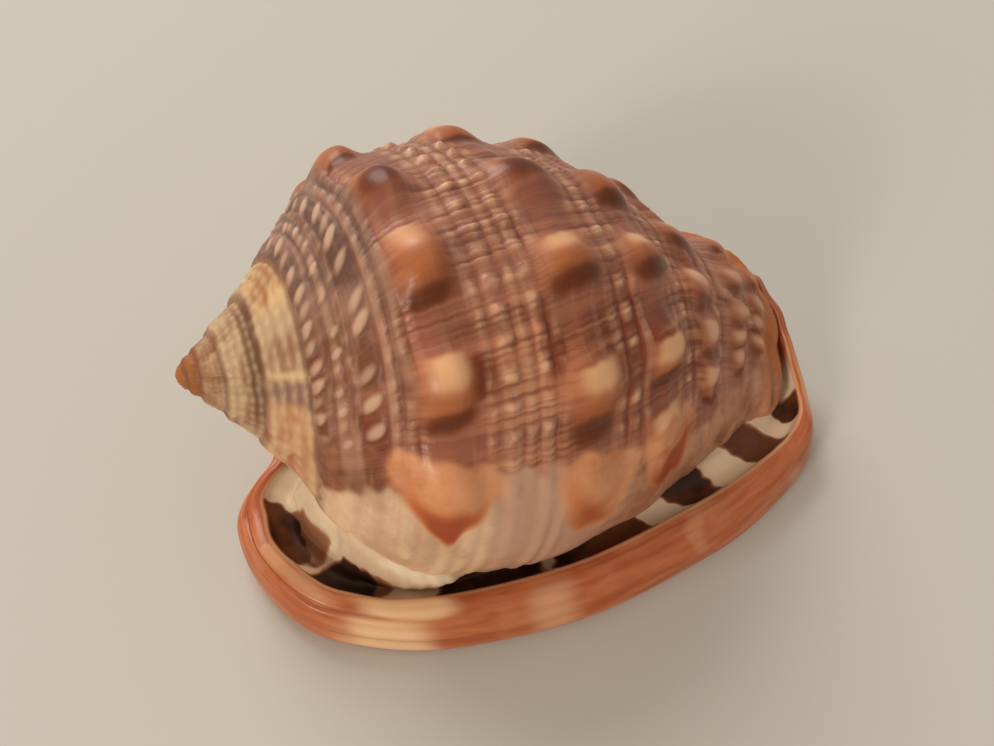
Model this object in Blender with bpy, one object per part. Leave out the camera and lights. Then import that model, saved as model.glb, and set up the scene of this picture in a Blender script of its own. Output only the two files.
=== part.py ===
"""Bullmouth helmet shell: one solid shell that rests on its aperture side.

The whorls are a surface wound about a tilted axis: an angle runs round the axis (0 at the lip
side, 90 on top, 180 at the back) and a place runs along the profile from the apex to the front
end.  The thick rim, the callus under it and the upturned canal are one plate whose section is
carried round a closed outline.  The body chamber and the toothed slit are cut from both.

Lengths are in millimetres until the meshes are made.  While the shell is worked out, x is 0
under the apex and y is 0 on the axis; the finished shell stands centred over the origin.
"""

import bmesh
import bpy
import numpy as np

MM = 0.001

# ---- driving dimensions: the axis and the whorls ----
APEX_HEIGHT = 50.0            # apex above the table
TILT = np.radians(15.8)       # the axis falls towards the front end
TURN_GROWTH = 1.284           # growth of the last whorl in one turn
LENGTH_POWER = 1.15           # places along the axis grow as this power of the width
LIP_ANGLE = -50.0             # where the last whorl ends at the lip
SEAM_BLEND = 262.0            # from here to the end of the turn the whorl widens back to the lip
UNDERSIDE = 4.0               # the whorl is flattened at this height, inside the plate
UNDERSIDE_KNEE = 1.5
CANAL_LIFT = 14.0             # the flat underside climbs with the canal at the front end
CANAL_X = (112.0, 134.0)
CANAL_Y = (-34.0, -8.0)

# distance along the axis and radius, on the lip side
PROFILE = [(0, 0), (0.8, 1.9), (4, 4.7), (9, 9.4), (15, 16), (22, 24.9), (30, 34.4), (37.5, 40.6),
           (50, 44.2), (64.5, 45.2), (84.5, 42.2), (102, 34.8), (112, 29.4), (120, 24.9),
           (128, 20), (134, 14.5), (138, 8), (139.5, 0)]
SPIRE_END = 15.0              # the spire before this place keeps its size round the turn
SHOULDER = 37.5               # from here the profile follows the growth of the whorl
FRONT_END = (102.0, 122.0)    # between these places it stops shortening round the turn

# share by which the end of the whorl swells out towards the lip, along the axis
SWELLING = [(0, 0), (18, 0), (22, 0.20), (28, 0.20), (36, 0.13), (50, 0.10), (80, 0.10),
            (95, 0.14), (105, 0.20), (115, 0.32), (125, 0.50), (134, 0.65), (139.5, 0.65)]
SWELL_ANGLES = (28.0, -18.0, -24.0, -50.0)    # it grows between the first two, then fades

# the front end narrows on its back side and leans to the lip, behind the canal
NARROWING = 0.6
NARROW_ALONG = (98.0, 126.0)
NARROW_ANGLES = (62.0, 145.0)
LEAN = 12.0
LEAN_ALONG = (124.0, 139.5)

# knob rows: place, angles, knob height, knob radius, ridge height, ridge half width
KNOB_ROWS = [
    (37.5, [-18, 10, 38, 68, 95, 129, 160, 192, 222, 252], 3.9, 5.4, 0.6, 3.2),
    (64.5, [-20, 6, 34, 62, 89, 125, 158, 190, 220, 250], 3.6, 5.2, 0.6, 3.0),
    (84.5, [-14, 14, 39, 63, 89, 120, 152, 184, 215, 247], 3.2, 4.6, 0.7, 2.6),
    (102.0, [-6, 24, 39, 55, 75, 103, 135, 168, 200, 235], 2.4, 3.8, 1.0, 2.2),
    (116.0, [0, 20, 30, 42, 58, 80, 108, 140, 175, 210], 1.5, 3.0, 1.1, 1.9),
    (126.5, [2, 22, 35, 45, 62, 85, 115, 150, 190], 1.2, 2.6, 1.0, 1.7),
]
KNOB_FADE = (-10.0, 32.0)     # knobs sink into the whorl between these angles, near the lip
KNOB_FADED = 0.25

# ---- driving dimensions: the rim, the callus and the canal ----
# x and y of the outer edge, height of that edge, height of the crest, width of the rim
RIM = [
    (-1.6, -12, 3, 12.5, 7.5), (-0.8, -22.5, 0, 13, 7), (4.4, -34.7, 0, 12.5, 8),
    (13.4, -43.6, 0, 12, 8), (32.7, -53.2, 0, 11.5, 8.8), (63, -58.8, 0, 11.5, 9.4),
    (92, -57.3, 0, 11.5, 9.4), (108, -54.3, 0, 11.5, 8.8), (123.5, -48.4, 0, 11.5, 7.4),
    (131.5, -42.3, 0, 12, 6), (135.6, -34, 0, 12.5, 4.5), (137.4, -27.5, 2, 14.5, 4),
    (137.8, -21, 5, 18.5, 3.5), (137.2, -15.5, 9, 23, 3.5), (135, -9.5, 13, 27.5, 3.5),
    (131.5, -2.5, 17, 30.5, 3.5), (125, 5, 17, 30.5, 3.5), (117, 13.5, 10, 25, 4),
    (106, 24.5, 3, 17, 4), (92, 33, 0, 11, 5), (70, 39, 0, 9.5, 6), (47, 39.5, 0, 9.5, 6),
    (28, 31, 0, 10, 6), (17, 19, 1, 10.5, 6), (12.5, 8.5, 4, 12, 5), (10, 1, 6, 14, 5),
    (5, -3.2, 5, 14, 5), (0.6, -7, 4, 13, 6),
]
TROUGH_HEIGHT = 6.5           # floor of the groove between the rim and the whorl
TROUGH_RISE = 0.9             # the groove climbs with the edge of the canal
PLATE_TOP = 14.0              # top of the plate, inside the whorl
CALLUS_TOP = 27.0             # the callus climbs to the spire behind the aperture

# ---- driving dimensions: the groove that carries the aperture over the canal ----
# middle of the groove and its radius
GROOVE = [(118, -16.8, 2, 3), (126, -15.5, 3.5, 3), (133, -13.5, 8, 2.8), (136.4, -10.5, 15, 2.6),
          (135.4, -7, 22, 2.5), (131.5, -4, 29, 2.5), (128, -2, 36, 2.5)]

# ---- driving dimensions: the aperture and the body chamber ----
SLIT_BACK = (24.0, -13.0)     # ends of the slit in plan
SLIT_FRONT = (122.0, -17.0)
SLIT_HALF_WIDTH = 5.4
SLIT_END_RADIUS = 3.0
SLIT_TOP = 13.0
VENTRAL_RISE = 3.0            # the aperture side is hollowed by this much at the slit
TEETH = 22
TOOTH_DEPTH = 1.2
CHAMBER_WALL = 5.0
CHAMBER_FLOOR = 7.5
CHAMBER_FROM, CHAMBER_TO = -64.0, 150.0
CHAMBER_BACK, CHAMBER_FRONT = 27.0, 122.0
CHAMBER_SHARE = 0.5           # thickness of the chamber as a share of the outer radius

# ---- fineness of the solid ----
TURN_STEPS = 88
PROFILE_STEPS = 40
RIM_STEPS = 80
CHAMBER_STEPS = 16
CHAMBER_SIDE_STEPS = 9
GROOVE_STEPS = 14
GROOVE_SIDES = 10
TOOTH_STEPS = 3

AXIS_ALONG = np.array([np.cos(TILT), 0.0, -np.sin(TILT)])
AXIS_UP = np.array([np.sin(TILT), 0.0, np.cos(TILT)])
AXIS_FRONT = np.array([0.0, -1.0, 0.0])
APEX = np.array([0.0, 0.0, APEX_HEIGHT])


def smoothstep(low, high, value):
    """0 before low, 1 after high and a soft S between them."""
    share = np.clip((np.asarray(value, float) - low) / (high - low), 0.0, 1.0)
    return share * share * (3.0 - 2.0 * share)


def smooth_curve(points, closed=False, pieces=40):
    """Catmull-Rom curve through the points, as a dense list of points."""
    knots = np.array(points, float)
    if closed:
        knots = np.vstack([knots[-1:], knots, knots[:2]])
    else:
        knots = np.vstack([2 * knots[0] - knots[1], knots, 2 * knots[-1] - knots[-2]])
    share = np.linspace(0, 1, pieces, endpoint=False)[:, None]
    curve = []
    for p0, p1, p2, p3 in zip(knots[:-3], knots[1:-2], knots[2:-1], knots[3:]):
        curve.append(0.5 * (2 * p1 + (p2 - p0) * share
                            + (2 * p0 - 5 * p1 + 4 * p2 - p3) * share ** 2
                            + (3 * p1 - p0 - 3 * p2 + p3) * share ** 3))
    curve.append(knots[-2][None])
    return np.vstack(curve)


def running_length(curve):
    """Length along the curve up to each of its points."""
    steps = np.linalg.norm(np.diff(curve, axis=0), axis=1)
    return np.concatenate([[0.0], np.cumsum(steps)])


PROFILE_CURVE = smooth_curve(PROFILE)
PROFILE_LENGTH = running_length(PROFILE_CURVE)


def place_of(along):
    """Length along the profile where it reaches this distance along the axis."""
    return np.interp(along, PROFILE_CURVE[:, 0], PROFILE_LENGTH)


def profile_at(place):
    """Distance along the axis and radius of the profile."""
    along = np.interp(place, PROFILE_LENGTH, PROFILE_CURVE[:, 0])
    radius = np.interp(place, PROFILE_LENGTH, PROFILE_CURVE[:, 1])
    return along, radius


def turn_size(angle):
    """Size of the whorl round the turn, against its size at angle 0."""
    size = TURN_GROWTH ** (-angle / 360.0)
    lip_size = TURN_GROWTH ** (-LIP_ANGLE / 360.0)
    seam = smoothstep(SEAM_BLEND, LIP_ANGLE + 360.0, angle)
    return size * (1 - seam) + lip_size * seam


def swelling(angle, along):
    """Share by which the whorl swells near the lip."""
    amount = np.interp(along, [row[0] for row in SWELLING], [row[1] for row in SWELLING])
    grows_from, full_from, full_to, gone = SWELL_ANGLES
    return amount * smoothstep(grows_from, full_from, angle) * smoothstep(gone, full_to, angle)


def narrowing(angle, along):
    """Share that is left of the radius on the back side of the front end."""
    behind = smoothstep(*NARROW_ANGLES, angle) * smoothstep(LIP_ANGLE + 360.0, SEAM_BLEND, angle)
    return 1 - NARROWING * behind * smoothstep(*NARROW_ALONG, along)


def soft_floor(heights, floor, knee):
    """Heights that bend into a flat floor."""
    return floor + knee * np.logaddexp(0.0, (heights - floor) / knee)


def round_the_axis(angle, along, radius):
    """Points at an angle, a distance along the axis and a radius from it."""
    front = np.cos(np.radians(angle)) * radius
    up = np.sin(np.radians(angle)) * radius
    return (APEX + along[..., None] * AXIS_ALONG + front[..., None] * AXIS_FRONT
            + up[..., None] * AXIS_UP)


def whorl_size(angle, place):
    """Distance along the axis and radius of the plain whorl, without its knobs."""
    along, radius = profile_at(place)
    follow = smoothstep(place_of(SPIRE_END), place_of(SHOULDER), place)
    size = turn_size(angle)
    radius = radius * (1 + (size - 1) * follow) * (1 + swelling(angle, along))
    radius = radius * narrowing(angle, along)
    follow = follow * smoothstep(FRONT_END[1], FRONT_END[0], along)
    along = along * (1 + (size ** LENGTH_POWER - 1) * follow)
    return along, radius


def knob_lift(angle, place):
    """Height of the knobs and of the low ridges that join them."""
    lift = np.zeros(np.broadcast(angle, place).shape)
    shown = KNOB_FADED + (1 - KNOB_FADED) * smoothstep(*KNOB_FADE, angle)
    for row_along, knob_angles, height, reach, ridge, ridge_reach in KNOB_ROWS:
        row_place = place_of(row_along)
        row_radius = profile_at(row_place)[1]
        beside = place - row_place
        row_lift = ridge * np.exp(-(beside / ridge_reach) ** 2)
        for knob_angle in knob_angles:
            turned = (angle - knob_angle + 180.0) % 360.0 - 180.0
            away = np.hypot(np.radians(turned) * row_radius * turn_size(knob_angle), beside)
            row_lift = np.maximum(row_lift, height * np.exp(-(away / reach) ** 2.3))
        lift = np.maximum(lift, row_lift * shown)
    return lift


def whorl_points(angle, place):
    """Points of the finished outside of the whorls."""
    along, radius = whorl_size(angle, place)
    points = round_the_axis(angle, along, radius + knob_lift(angle, place))
    points[..., 1] -= LEAN * smoothstep(*LEAN_ALONG, profile_at(place)[0])
    canal = smoothstep(*CANAL_X, points[..., 0]) * smoothstep(*CANAL_Y, points[..., 1])
    points[..., 2] = soft_floor(points[..., 2], UNDERSIDE + CANAL_LIFT * canal, UNDERSIDE_KNEE)
    return points


def rim_stations(count):
    """Rim values at evenly spaced stations round its outline."""
    curve = smooth_curve(RIM, closed=True)
    length = running_length(curve[:, :2])
    places = np.linspace(0, length[-1], count, endpoint=False)
    return np.stack([np.interp(places, length, curve[:, i]) for i in range(curve.shape[1])], 1)


def slit_line(x):
    """Nearest place on the middle line of the slit, for each x."""
    share = np.clip((x - SLIT_BACK[0]) / (SLIT_FRONT[0] - SLIT_BACK[0]), 0.0, 1.0)
    across = SLIT_BACK[1] + share * (SLIT_FRONT[1] - SLIT_BACK[1])
    return SLIT_BACK[0] + share * (SLIT_FRONT[0] - SLIT_BACK[0]), across


def plate_sections(count):
    """Section points at each rim station, from the top of the plate over the rim to below."""
    x, y, edge, crest, width = rim_stations(count).T
    edge = np.maximum(edge, 0.0)
    middle_x, middle_y = slit_line(x)
    reach = np.hypot(middle_x - x, middle_y - y)
    inward_x = (middle_x - x) / reach
    inward_y = (middle_y - y) / reach
    inner = reach - 2.5
    groove = width + np.minimum(4.5, 0.4 * (inner - width))
    trough = TROUGH_HEIGHT + TROUGH_RISE * edge
    at_back = smoothstep(SLIT_BACK[0] + 8.0, SLIT_BACK[0] - 6.0, x)
    top = PLATE_TOP + (CALLUS_TOP - PLATE_TOP) * at_back
    rows = [
        (inner, top),
        (groove + (inner - groove) * 0.5, trough + (top - trough) * 0.4),
        (groove, trough),
        (width + 0.25 * (groove - width), trough + 0.30 * (crest - trough)),
        (width, crest - 0.7),
        (width * 0.72, crest),
        (width * 0.38, crest - 0.9),
        (width * 0.12, edge + 0.68 * (crest - edge)),
        (width * 0.0, edge + 0.36 * (crest - edge)),
        (width * 0.06, edge + 0.10 * (crest - edge)),
        (width * 0.20, edge),
        (width * 0.85, edge * 0.8),
        (width + (inner - width) * 0.5, edge * 0.4 + 0.35 * VENTRAL_RISE),
        (inner, np.full(count, VENTRAL_RISE)),
    ]
    sections = [np.stack([x + inward_x * d, y + inward_y * d, np.broadcast_to(z, x.shape)], 1)
                for d, z in rows]
    return np.stack(sections, 1)


def room_below(angle, along):
    """Radius at which a line from the axis reaches the floor of the chamber."""
    height = APEX_HEIGHT + along * AXIS_ALONG[2] - CHAMBER_FLOOR
    fall = max(-np.sin(np.radians(angle)) * AXIS_UP[2], 0.01)
    return height / fall


def chamber_sections(turns, side_steps):
    """Closed lens-shaped sections of the body chamber, one for each angle."""
    share = np.linspace(0, 1, side_steps)
    angles = np.linspace(CHAMBER_FROM, CHAMBER_TO, turns)
    sections = []
    for angle in angles:
        ending = 1 - 0.75 * smoothstep(CHAMBER_TO - 70.0, CHAMBER_TO, angle)
        middle = 0.5 * (CHAMBER_BACK + CHAMBER_FRONT)
        half = 0.5 * (CHAMBER_FRONT - CHAMBER_BACK) * (0.35 + 0.65 * ending)
        place = place_of(middle + half * (2 * share - 1))
        here = np.full(side_steps, max(angle, LIP_ANGLE))
        along, radius = whorl_size(here, place)
        outer = np.minimum(radius - CHAMBER_WALL, room_below(angle, along))
        thickness = CHAMBER_SHARE * outer * np.sqrt(np.sin(np.pi * share)) * ending
        turn = np.full(side_steps, angle)
        outside = round_the_axis(turn, along, outer)
        inside = round_the_axis(turn, along, outer - thickness)[1:-1][::-1]
        sections.append(np.vstack([outside, inside]))
    return np.stack(sections)


def slit_outline():
    """Plan outline of the slit: two toothed sides and two rounded ends."""
    steps = TEETH * TOOTH_STEPS
    share = np.linspace(0, 1, steps + 1)
    x = SLIT_BACK[0] + share * (SLIT_FRONT[0] - SLIT_BACK[0])
    middle = slit_line(x)[1]
    belly = SLIT_END_RADIUS + (SLIT_HALF_WIDTH - SLIT_END_RADIUS) * np.sin(np.pi * share) ** 0.5
    wave = 0.5 - 0.5 * np.cos(2 * np.pi * np.arange(steps + 1) / TOOTH_STEPS)
    teeth = TOOTH_DEPTH * wave * smoothstep(0, 0.08, share) * smoothstep(1, 0.92, share)
    lip_side = np.stack([x, middle - belly + teeth], 1)
    inner_side = np.stack([x, middle + belly - 0.7 * teeth], 1)
    bend = np.radians([45, 90, 135])
    front_end = np.stack([SLIT_FRONT[0] + SLIT_END_RADIUS * np.sin(bend),
                          SLIT_FRONT[1] - SLIT_END_RADIUS * np.cos(bend)], 1)
    back_end = np.stack([SLIT_BACK[0] - SLIT_END_RADIUS * np.sin(bend),
                         SLIT_BACK[1] + SLIT_END_RADIUS * np.cos(bend)], 1)
    return np.vstack([lip_side, front_end, inner_side[::-1], back_end])


def add_loops(mesh_data, loops, shift):
    """Vertices for a stack of closed loops, with quads between neighbours."""
    rings = []
    for loop in loops:
        rings.append([mesh_data.verts.new((point - shift) * MM) for point in loop])
    for ring, following in zip(rings[:-1], rings[1:]):
        for i, vertex in enumerate(ring):
            j = (i + 1) % len(ring)
            mesh_data.faces.new((vertex, ring[j], following[j], following[i]))
    return rings


def close_with_point(mesh_data, ring, point, shift):
    """Fan of triangles from a ring to one point."""
    tip = mesh_data.verts.new((point - shift) * MM)
    for i, vertex in enumerate(ring):
        mesh_data.faces.new((vertex, ring[(i + 1) % len(ring)], tip))


def finish_object(name, mesh_data, material=None):
    """Object of the mesh, with outward faces; one without a material is a cutter."""
    bmesh.ops.recalc_face_normals(mesh_data, faces=mesh_data.faces)
    mesh = bpy.data.meshes.new(name)
    mesh_data.to_mesh(mesh)
    mesh_data.free()
    mesh.shade_smooth()
    item = bpy.data.objects.new(name, mesh)
    bpy.context.scene.collection.objects.link(item)
    if material is None:
        item.hide_render = True
        item.display_type = 'WIRE'
    else:
        mesh.materials.append(material)
    return item


def whorl_grid():
    """Grid of points over the whorls, without its two end points."""
    angles = np.linspace(LIP_ANGLE, LIP_ANGLE + 360.0, TURN_STEPS, endpoint=False)
    places = np.linspace(0, PROFILE_LENGTH[-1], PROFILE_STEPS + 1)[1:-1]
    angle, place = np.meshgrid(angles, places)
    return whorl_points(angle, place)


def make_whorls(grid, shift, material):
    """Closed solid of the whorls, from the apex to the front end."""
    mesh_data = bmesh.new()
    rings = add_loops(mesh_data, grid, shift)
    front_end = whorl_points(np.zeros(1), PROFILE_LENGTH[-1:])[0]
    close_with_point(mesh_data, rings[0], APEX, shift)
    close_with_point(mesh_data, rings[-1], front_end, shift)
    return finish_object("shell", mesh_data, material)


def make_plate(sections, shift):
    """Closed solid of the rim, the callus and the canal, to be joined to the whorls."""
    mesh_data = bmesh.new()
    rings = add_loops(mesh_data, sections.transpose(1, 0, 2), shift)
    mesh_data.faces.new(rings[0])
    mesh_data.faces.new(rings[-1])
    return finish_object("rim_plate", mesh_data)


def make_chamber(shift):
    """Closed solid of the hollow inside the last whorl."""
    mesh_data = bmesh.new()
    rings = add_loops(mesh_data, chamber_sections(CHAMBER_STEPS, CHAMBER_SIDE_STEPS), shift)
    mesh_data.faces.new(rings[0])
    mesh_data.faces.new(rings[-1])
    return finish_object("body_chamber", mesh_data)


def make_slit(shift):
    """Closed prism of the toothed slit, from below the shell up into the chamber."""
    mesh_data = bmesh.new()
    outline = slit_outline()
    loops = [np.column_stack([outline, np.full(len(outline), height)])
             for height in (-VENTRAL_RISE, SLIT_TOP)]
    rings = add_loops(mesh_data, loops, shift)
    mesh_data.faces.new(rings[0])
    mesh_data.faces.new(rings[1])
    return finish_object("aperture_slit", mesh_data)


def make_groove(shift):
    """Closed tube of the groove from the slit up the canal to its tip."""
    mesh_data = bmesh.new()
    curve = smooth_curve(GROOVE)
    length = running_length(curve[:, :3])
    places = np.linspace(0, length[-1], GROOVE_STEPS)
    middle = np.stack([np.interp(places, length, curve[:, i]) for i in range(3)], 1)
    radius = np.interp(places, length, curve[:, 3])[:, None]
    ahead = np.gradient(middle, axis=0)
    ahead /= np.linalg.norm(ahead, axis=1)[:, None]
    across = np.cross(ahead, [-0.6, 0.0, 1.0])
    across /= np.linalg.norm(across, axis=1)[:, None]
    over = np.cross(ahead, across)
    turns = np.linspace(0, 2 * np.pi, GROOVE_SIDES, endpoint=False)
    sections = [middle + radius * (np.cos(turn) * across + np.sin(turn) * over) for turn in turns]
    rings = add_loops(mesh_data, np.stack(sections, 1), shift)
    mesh_data.faces.new(rings[0])
    mesh_data.faces.new(rings[-1])
    return finish_object("canal_groove", mesh_data)


def shell_material():
    """Polished shell, peach to mauve brown."""
    material = bpy.data.materials.new("shell_surface")
    material.use_nodes = True
    shader = material.node_tree.nodes["Principled BSDF"]
    shader.inputs["Base Color"].default_value = (0.48, 0.24, 0.16, 1.0)
    shader.inputs["Roughness"].default_value = 0.35
    shader.inputs["Metallic"].default_value = 0.0
    return material


def join_or_cut(item, other, operation):
    """Boolean with another closed solid."""
    step = item.modifiers.new(other.name, 'BOOLEAN')
    step.object = other
    step.operation = operation
    step.solver = 'EXACT'


def main():
    for item in list(bpy.data.objects):
        bpy.data.objects.remove(item, do_unlink=True)
    grid = whorl_grid()
    sections = plate_sections(RIM_STEPS)
    points = np.vstack([grid.reshape(-1, 3), sections.reshape(-1, 3), APEX])
    low, high = points.min(axis=0), points.max(axis=0)
    shift = np.array([0.5 * (low[0] + high[0]), 0.5 * (low[1] + high[1]), low[2]])
    shell = make_whorls(grid, shift, shell_material())
    join_or_cut(shell, make_plate(sections, shift), 'UNION')
    join_or_cut(shell, make_chamber(shift), 'DIFFERENCE')
    join_or_cut(shell, make_slit(shift), 'DIFFERENCE')
    join_or_cut(shell, make_groove(shift), 'DIFFERENCE')


main()
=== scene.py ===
"""Looks of the bullmouth helmet shell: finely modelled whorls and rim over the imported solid.

The whorls are a grid of points wound about the shell's axis.  An angle runs round the axis (0 at
the lip side, 90 on top, 180 at the back) and a distance runs along it from the apex.  Knobs,
cords, beads, growth ridges and the ledges at the sutures are raised in the mesh, and the same
formulas give the masks that the materials colour by.  The rim, the trough behind it and the
toothed aperture side are a second closed surface, carried round the outline of the rim.

Lengths are in millimetres until the meshes are made.  While the shell is worked out, x is 0 under
the apex and y is 0 on the axis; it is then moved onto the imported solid's box.
"""

import math

import bmesh
import bpy
import numpy as np
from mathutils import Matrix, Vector, kdtree


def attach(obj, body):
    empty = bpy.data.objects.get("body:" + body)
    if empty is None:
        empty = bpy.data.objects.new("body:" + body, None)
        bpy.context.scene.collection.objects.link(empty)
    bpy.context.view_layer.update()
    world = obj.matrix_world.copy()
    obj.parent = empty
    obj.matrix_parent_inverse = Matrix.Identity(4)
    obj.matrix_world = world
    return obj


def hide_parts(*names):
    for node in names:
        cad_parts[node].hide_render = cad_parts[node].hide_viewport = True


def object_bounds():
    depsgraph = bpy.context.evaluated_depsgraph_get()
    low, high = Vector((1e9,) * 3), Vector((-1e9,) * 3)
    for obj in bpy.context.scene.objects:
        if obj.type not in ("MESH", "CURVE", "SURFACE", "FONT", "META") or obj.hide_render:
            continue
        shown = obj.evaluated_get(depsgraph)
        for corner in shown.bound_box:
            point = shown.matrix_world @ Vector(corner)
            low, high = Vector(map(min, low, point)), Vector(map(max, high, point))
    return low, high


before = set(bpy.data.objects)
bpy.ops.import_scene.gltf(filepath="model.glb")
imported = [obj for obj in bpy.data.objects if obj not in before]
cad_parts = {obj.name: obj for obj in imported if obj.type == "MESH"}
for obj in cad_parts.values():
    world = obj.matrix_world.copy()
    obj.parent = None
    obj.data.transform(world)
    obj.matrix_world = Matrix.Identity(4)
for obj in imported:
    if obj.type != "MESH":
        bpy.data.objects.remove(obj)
cad_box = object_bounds()

MM = 0.001

# ---- the axis and the whorls, as in the solid ----
APEX_HEIGHT = 50.0
TILT = np.radians(15.8)
TURN_GROWTH = 1.284
LENGTH_POWER = 1.15
LIP_ANGLE = -50.0
SEAM_BLEND = 262.0
UNDERSIDE = 4.0
UNDERSIDE_KNEE = 1.5
CANAL_LIFT = 14.0
CANAL_X = (112.0, 134.0)
CANAL_Y = (-34.0, -8.0)
PROFILE = [(0, 0), (0.8, 1.9), (4, 4.7), (9, 9.4), (15, 16), (22, 24.9), (30, 34.4), (37.5, 40.6),
           (50, 44.2), (64.5, 45.2), (84.5, 42.2), (102, 34.8), (112, 29.4), (120, 24.9),
           (128, 20), (134, 14.5), (138, 8), (139.5, 0)]
SPIRE_END = 15.0
SHOULDER = 37.5
FRONT_END = (102.0, 122.0)
SWELLING = [(0, 0), (18, 0), (22, 0.20), (28, 0.20), (36, 0.13), (50, 0.10), (80, 0.10),
            (95, 0.14), (105, 0.20), (115, 0.32), (125, 0.50), (134, 0.65), (139.5, 0.65)]
SWELL_SPAN = (-50.0, -24.0, -18.0, 28.0)    # it grows, stays and fades between these angles
NARROWING = 0.6
NARROW_ALONG = (98.0, 126.0)
NARROW_ANGLES = (62.0, 145.0)
LEAN = 12.0
LEAN_ALONG = (124.0, 139.5)

# knob rows: place, angles, knob height, knob radius, ridge height, ridge half width, drift along the
# axis near the lip, stretch along the axis and strength of the colours.  The last three rows stand
# higher than in the solid, and only here do the rows drift and stretch.
KNOB_ROWS = [
    (37.5, [-18, 10, 38, 68, 95, 129, 160, 192, 222, 252], 3.9, 5.4, 0.6, 3.2, 1.2, 0.96, 1.0),
    (64.5, [-20, 6, 34, 62, 89, 125, 158, 190, 220, 250], 3.6, 5.2, 0.6, 3.0, 2.6, 1.22, 1.0),
    (84.5, [-14, 14, 39, 63, 89, 120, 152, 184, 215, 247], 3.2, 4.6, 0.7, 2.6, 2.8, 1.38, 1.0),
    (102.0, [-6, 24, 39, 55, 75, 103, 135, 168, 200, 235], 2.8, 3.9, 1.8, 2.1, 2.3, 1.32, 0.95),
    (116.0, [0, 20, 30, 42, 58, 80, 108, 140, 175, 210], 2.4, 3.2, 1.9, 1.8, 1.4, 1.25, 0.9),
    (126.5, [2, 22, 35, 45, 62, 85, 115, 150, 190], 2.0, 2.8, 1.6, 1.5, 0.0, 1.15, 0.85),
]
KNOB_FADE = (-10.0, 32.0)     # knobs sink into the whorl between these angles, near the lip
KNOB_FADED = 0.25
DRIFT_ANGLES = (118.0, 78.0)  # between these angles the rows start to drift

# ---- relief of the whorls ----
KNOB_ROUNDING = 1.08
# suture: angle wound on from the lip, distance along the axis
SUTURE = [(-50, 23), (0, 20.8), (50, 19.8), (100, 19.3), (180, 17.6), (250, 15.8), (310, 14.3),
          (360, 13.7), (410, 13.4), (460, 13.0), (540, 11.6), (610, 9.8), (670, 8.4), (720, 7.9),
          (770, 7.5), (820, 7.2), (900, 6.3), (970, 5.2), (1030, 4.5), (1130, 4.1), (1390, 2.3),
          (1750, 1.0)]
SUTURE_LEDGE = 0.9
SPIRE_CORDS = (0.12, 0.36, 0.62, 0.86)
SPIRE_CORD_HEIGHT = 0.36
SPIRE_BEAD_PITCH = 9.5
VARIX_ANGLE = 40.0
# spiral cords: distance along the axis, height, half width, share that is beads
CORDS = [(21.9, 0.35, 0.7, 0.5), (23.8, 0.35, 0.7, 0.6), (25.7, 0.55, 0.6, 0.4),
         (31.2, 0.62, 0.8, 0.5), (33.3, 0.60, 0.8, 0.4), (35.6, 0.32, 0.7, 0.2),
         (46.6, 0.26, 1.0, 0.5), (50.3, 0.85, 1.7, 0.9), (54.0, 0.36, 1.0, 0.7),
         (57.2, 0.75, 1.4, 0.9), (60.6, 0.22, 0.9, 0.4), (73.8, 0.40, 1.2, 0.7),
         (77.6, 0.62, 1.4, 0.9), (81.4, 0.30, 0.9, 0.6), (92.2, 0.30, 1.0, 0.5),
         (95.8, 0.50, 1.3, 0.9), (98.6, 0.26, 0.8, 0.5), (109.6, 0.42, 1.1, 0.7),
         (121.8, 0.35, 1.0, 0.6)]
# spiral grooves: distance along the axis and strength; the strength deepens a groove and darkens
# it as painted shade, strongest at the front where it shades the ridges' flanks
SPIRAL_GROOVES = [(20.9, 0.7), (22.9, 0.9), (25.6, 0.9), (26.6, 0.8), (30.2, 1.0), (32.4, 1.0),
                  (34.5, 1.0), (48.3, 0.6), (52.4, 0.5), (55.6, 0.6), (58.9, 0.7), (75.8, 0.5),
                  (79.6, 0.5), (82.4, 0.6), (94.0, 0.7), (98.0, 0.9), (107.8, 1.1), (111.0, 0.9),
                  (121.4, 1.1)]
# the ridge that ends the body at the canal: angle and place along the axis
FRONT_RIDGE = [(-10, 130), (0, 129.5), (15, 129), (26, 127), (33, 124), (43, 118), (55, 112)]
# rows of seed-shaped beads: place along the axis, angles, height, half length and half width
SEED_ROWS = [
    (20.4, [12, 21, 28, 36, 44, 52, 60, 69, 77, 88, 100, 112, 125, 140], 0.70, 2.0, 0.80),
    (24.0, [15, 27, 34, 49, 57, 71, 84, 97, 109, 121], 0.45, 1.3, 0.65),
    (28.2, [23, 32, 41, 57.5, 65, 79.5, 90.5, 98, 106, 118, 129, 140, 152], 0.95, 2.6, 0.98)]
SEED_TURN = 34.0
GROOVE_PITCH = (1.4, 3.2)     # degrees between the fine growth grooves
GROOVE_COUNT = 220
GROOVE_REACH = 0.58           # half width of a growth groove, in degrees
GROOVE_DEPTH = 0.33
SPIRAL_DEPTH = 0.35
BEAD_PITCH = 7.4              # degrees between the beads on a cord
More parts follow.
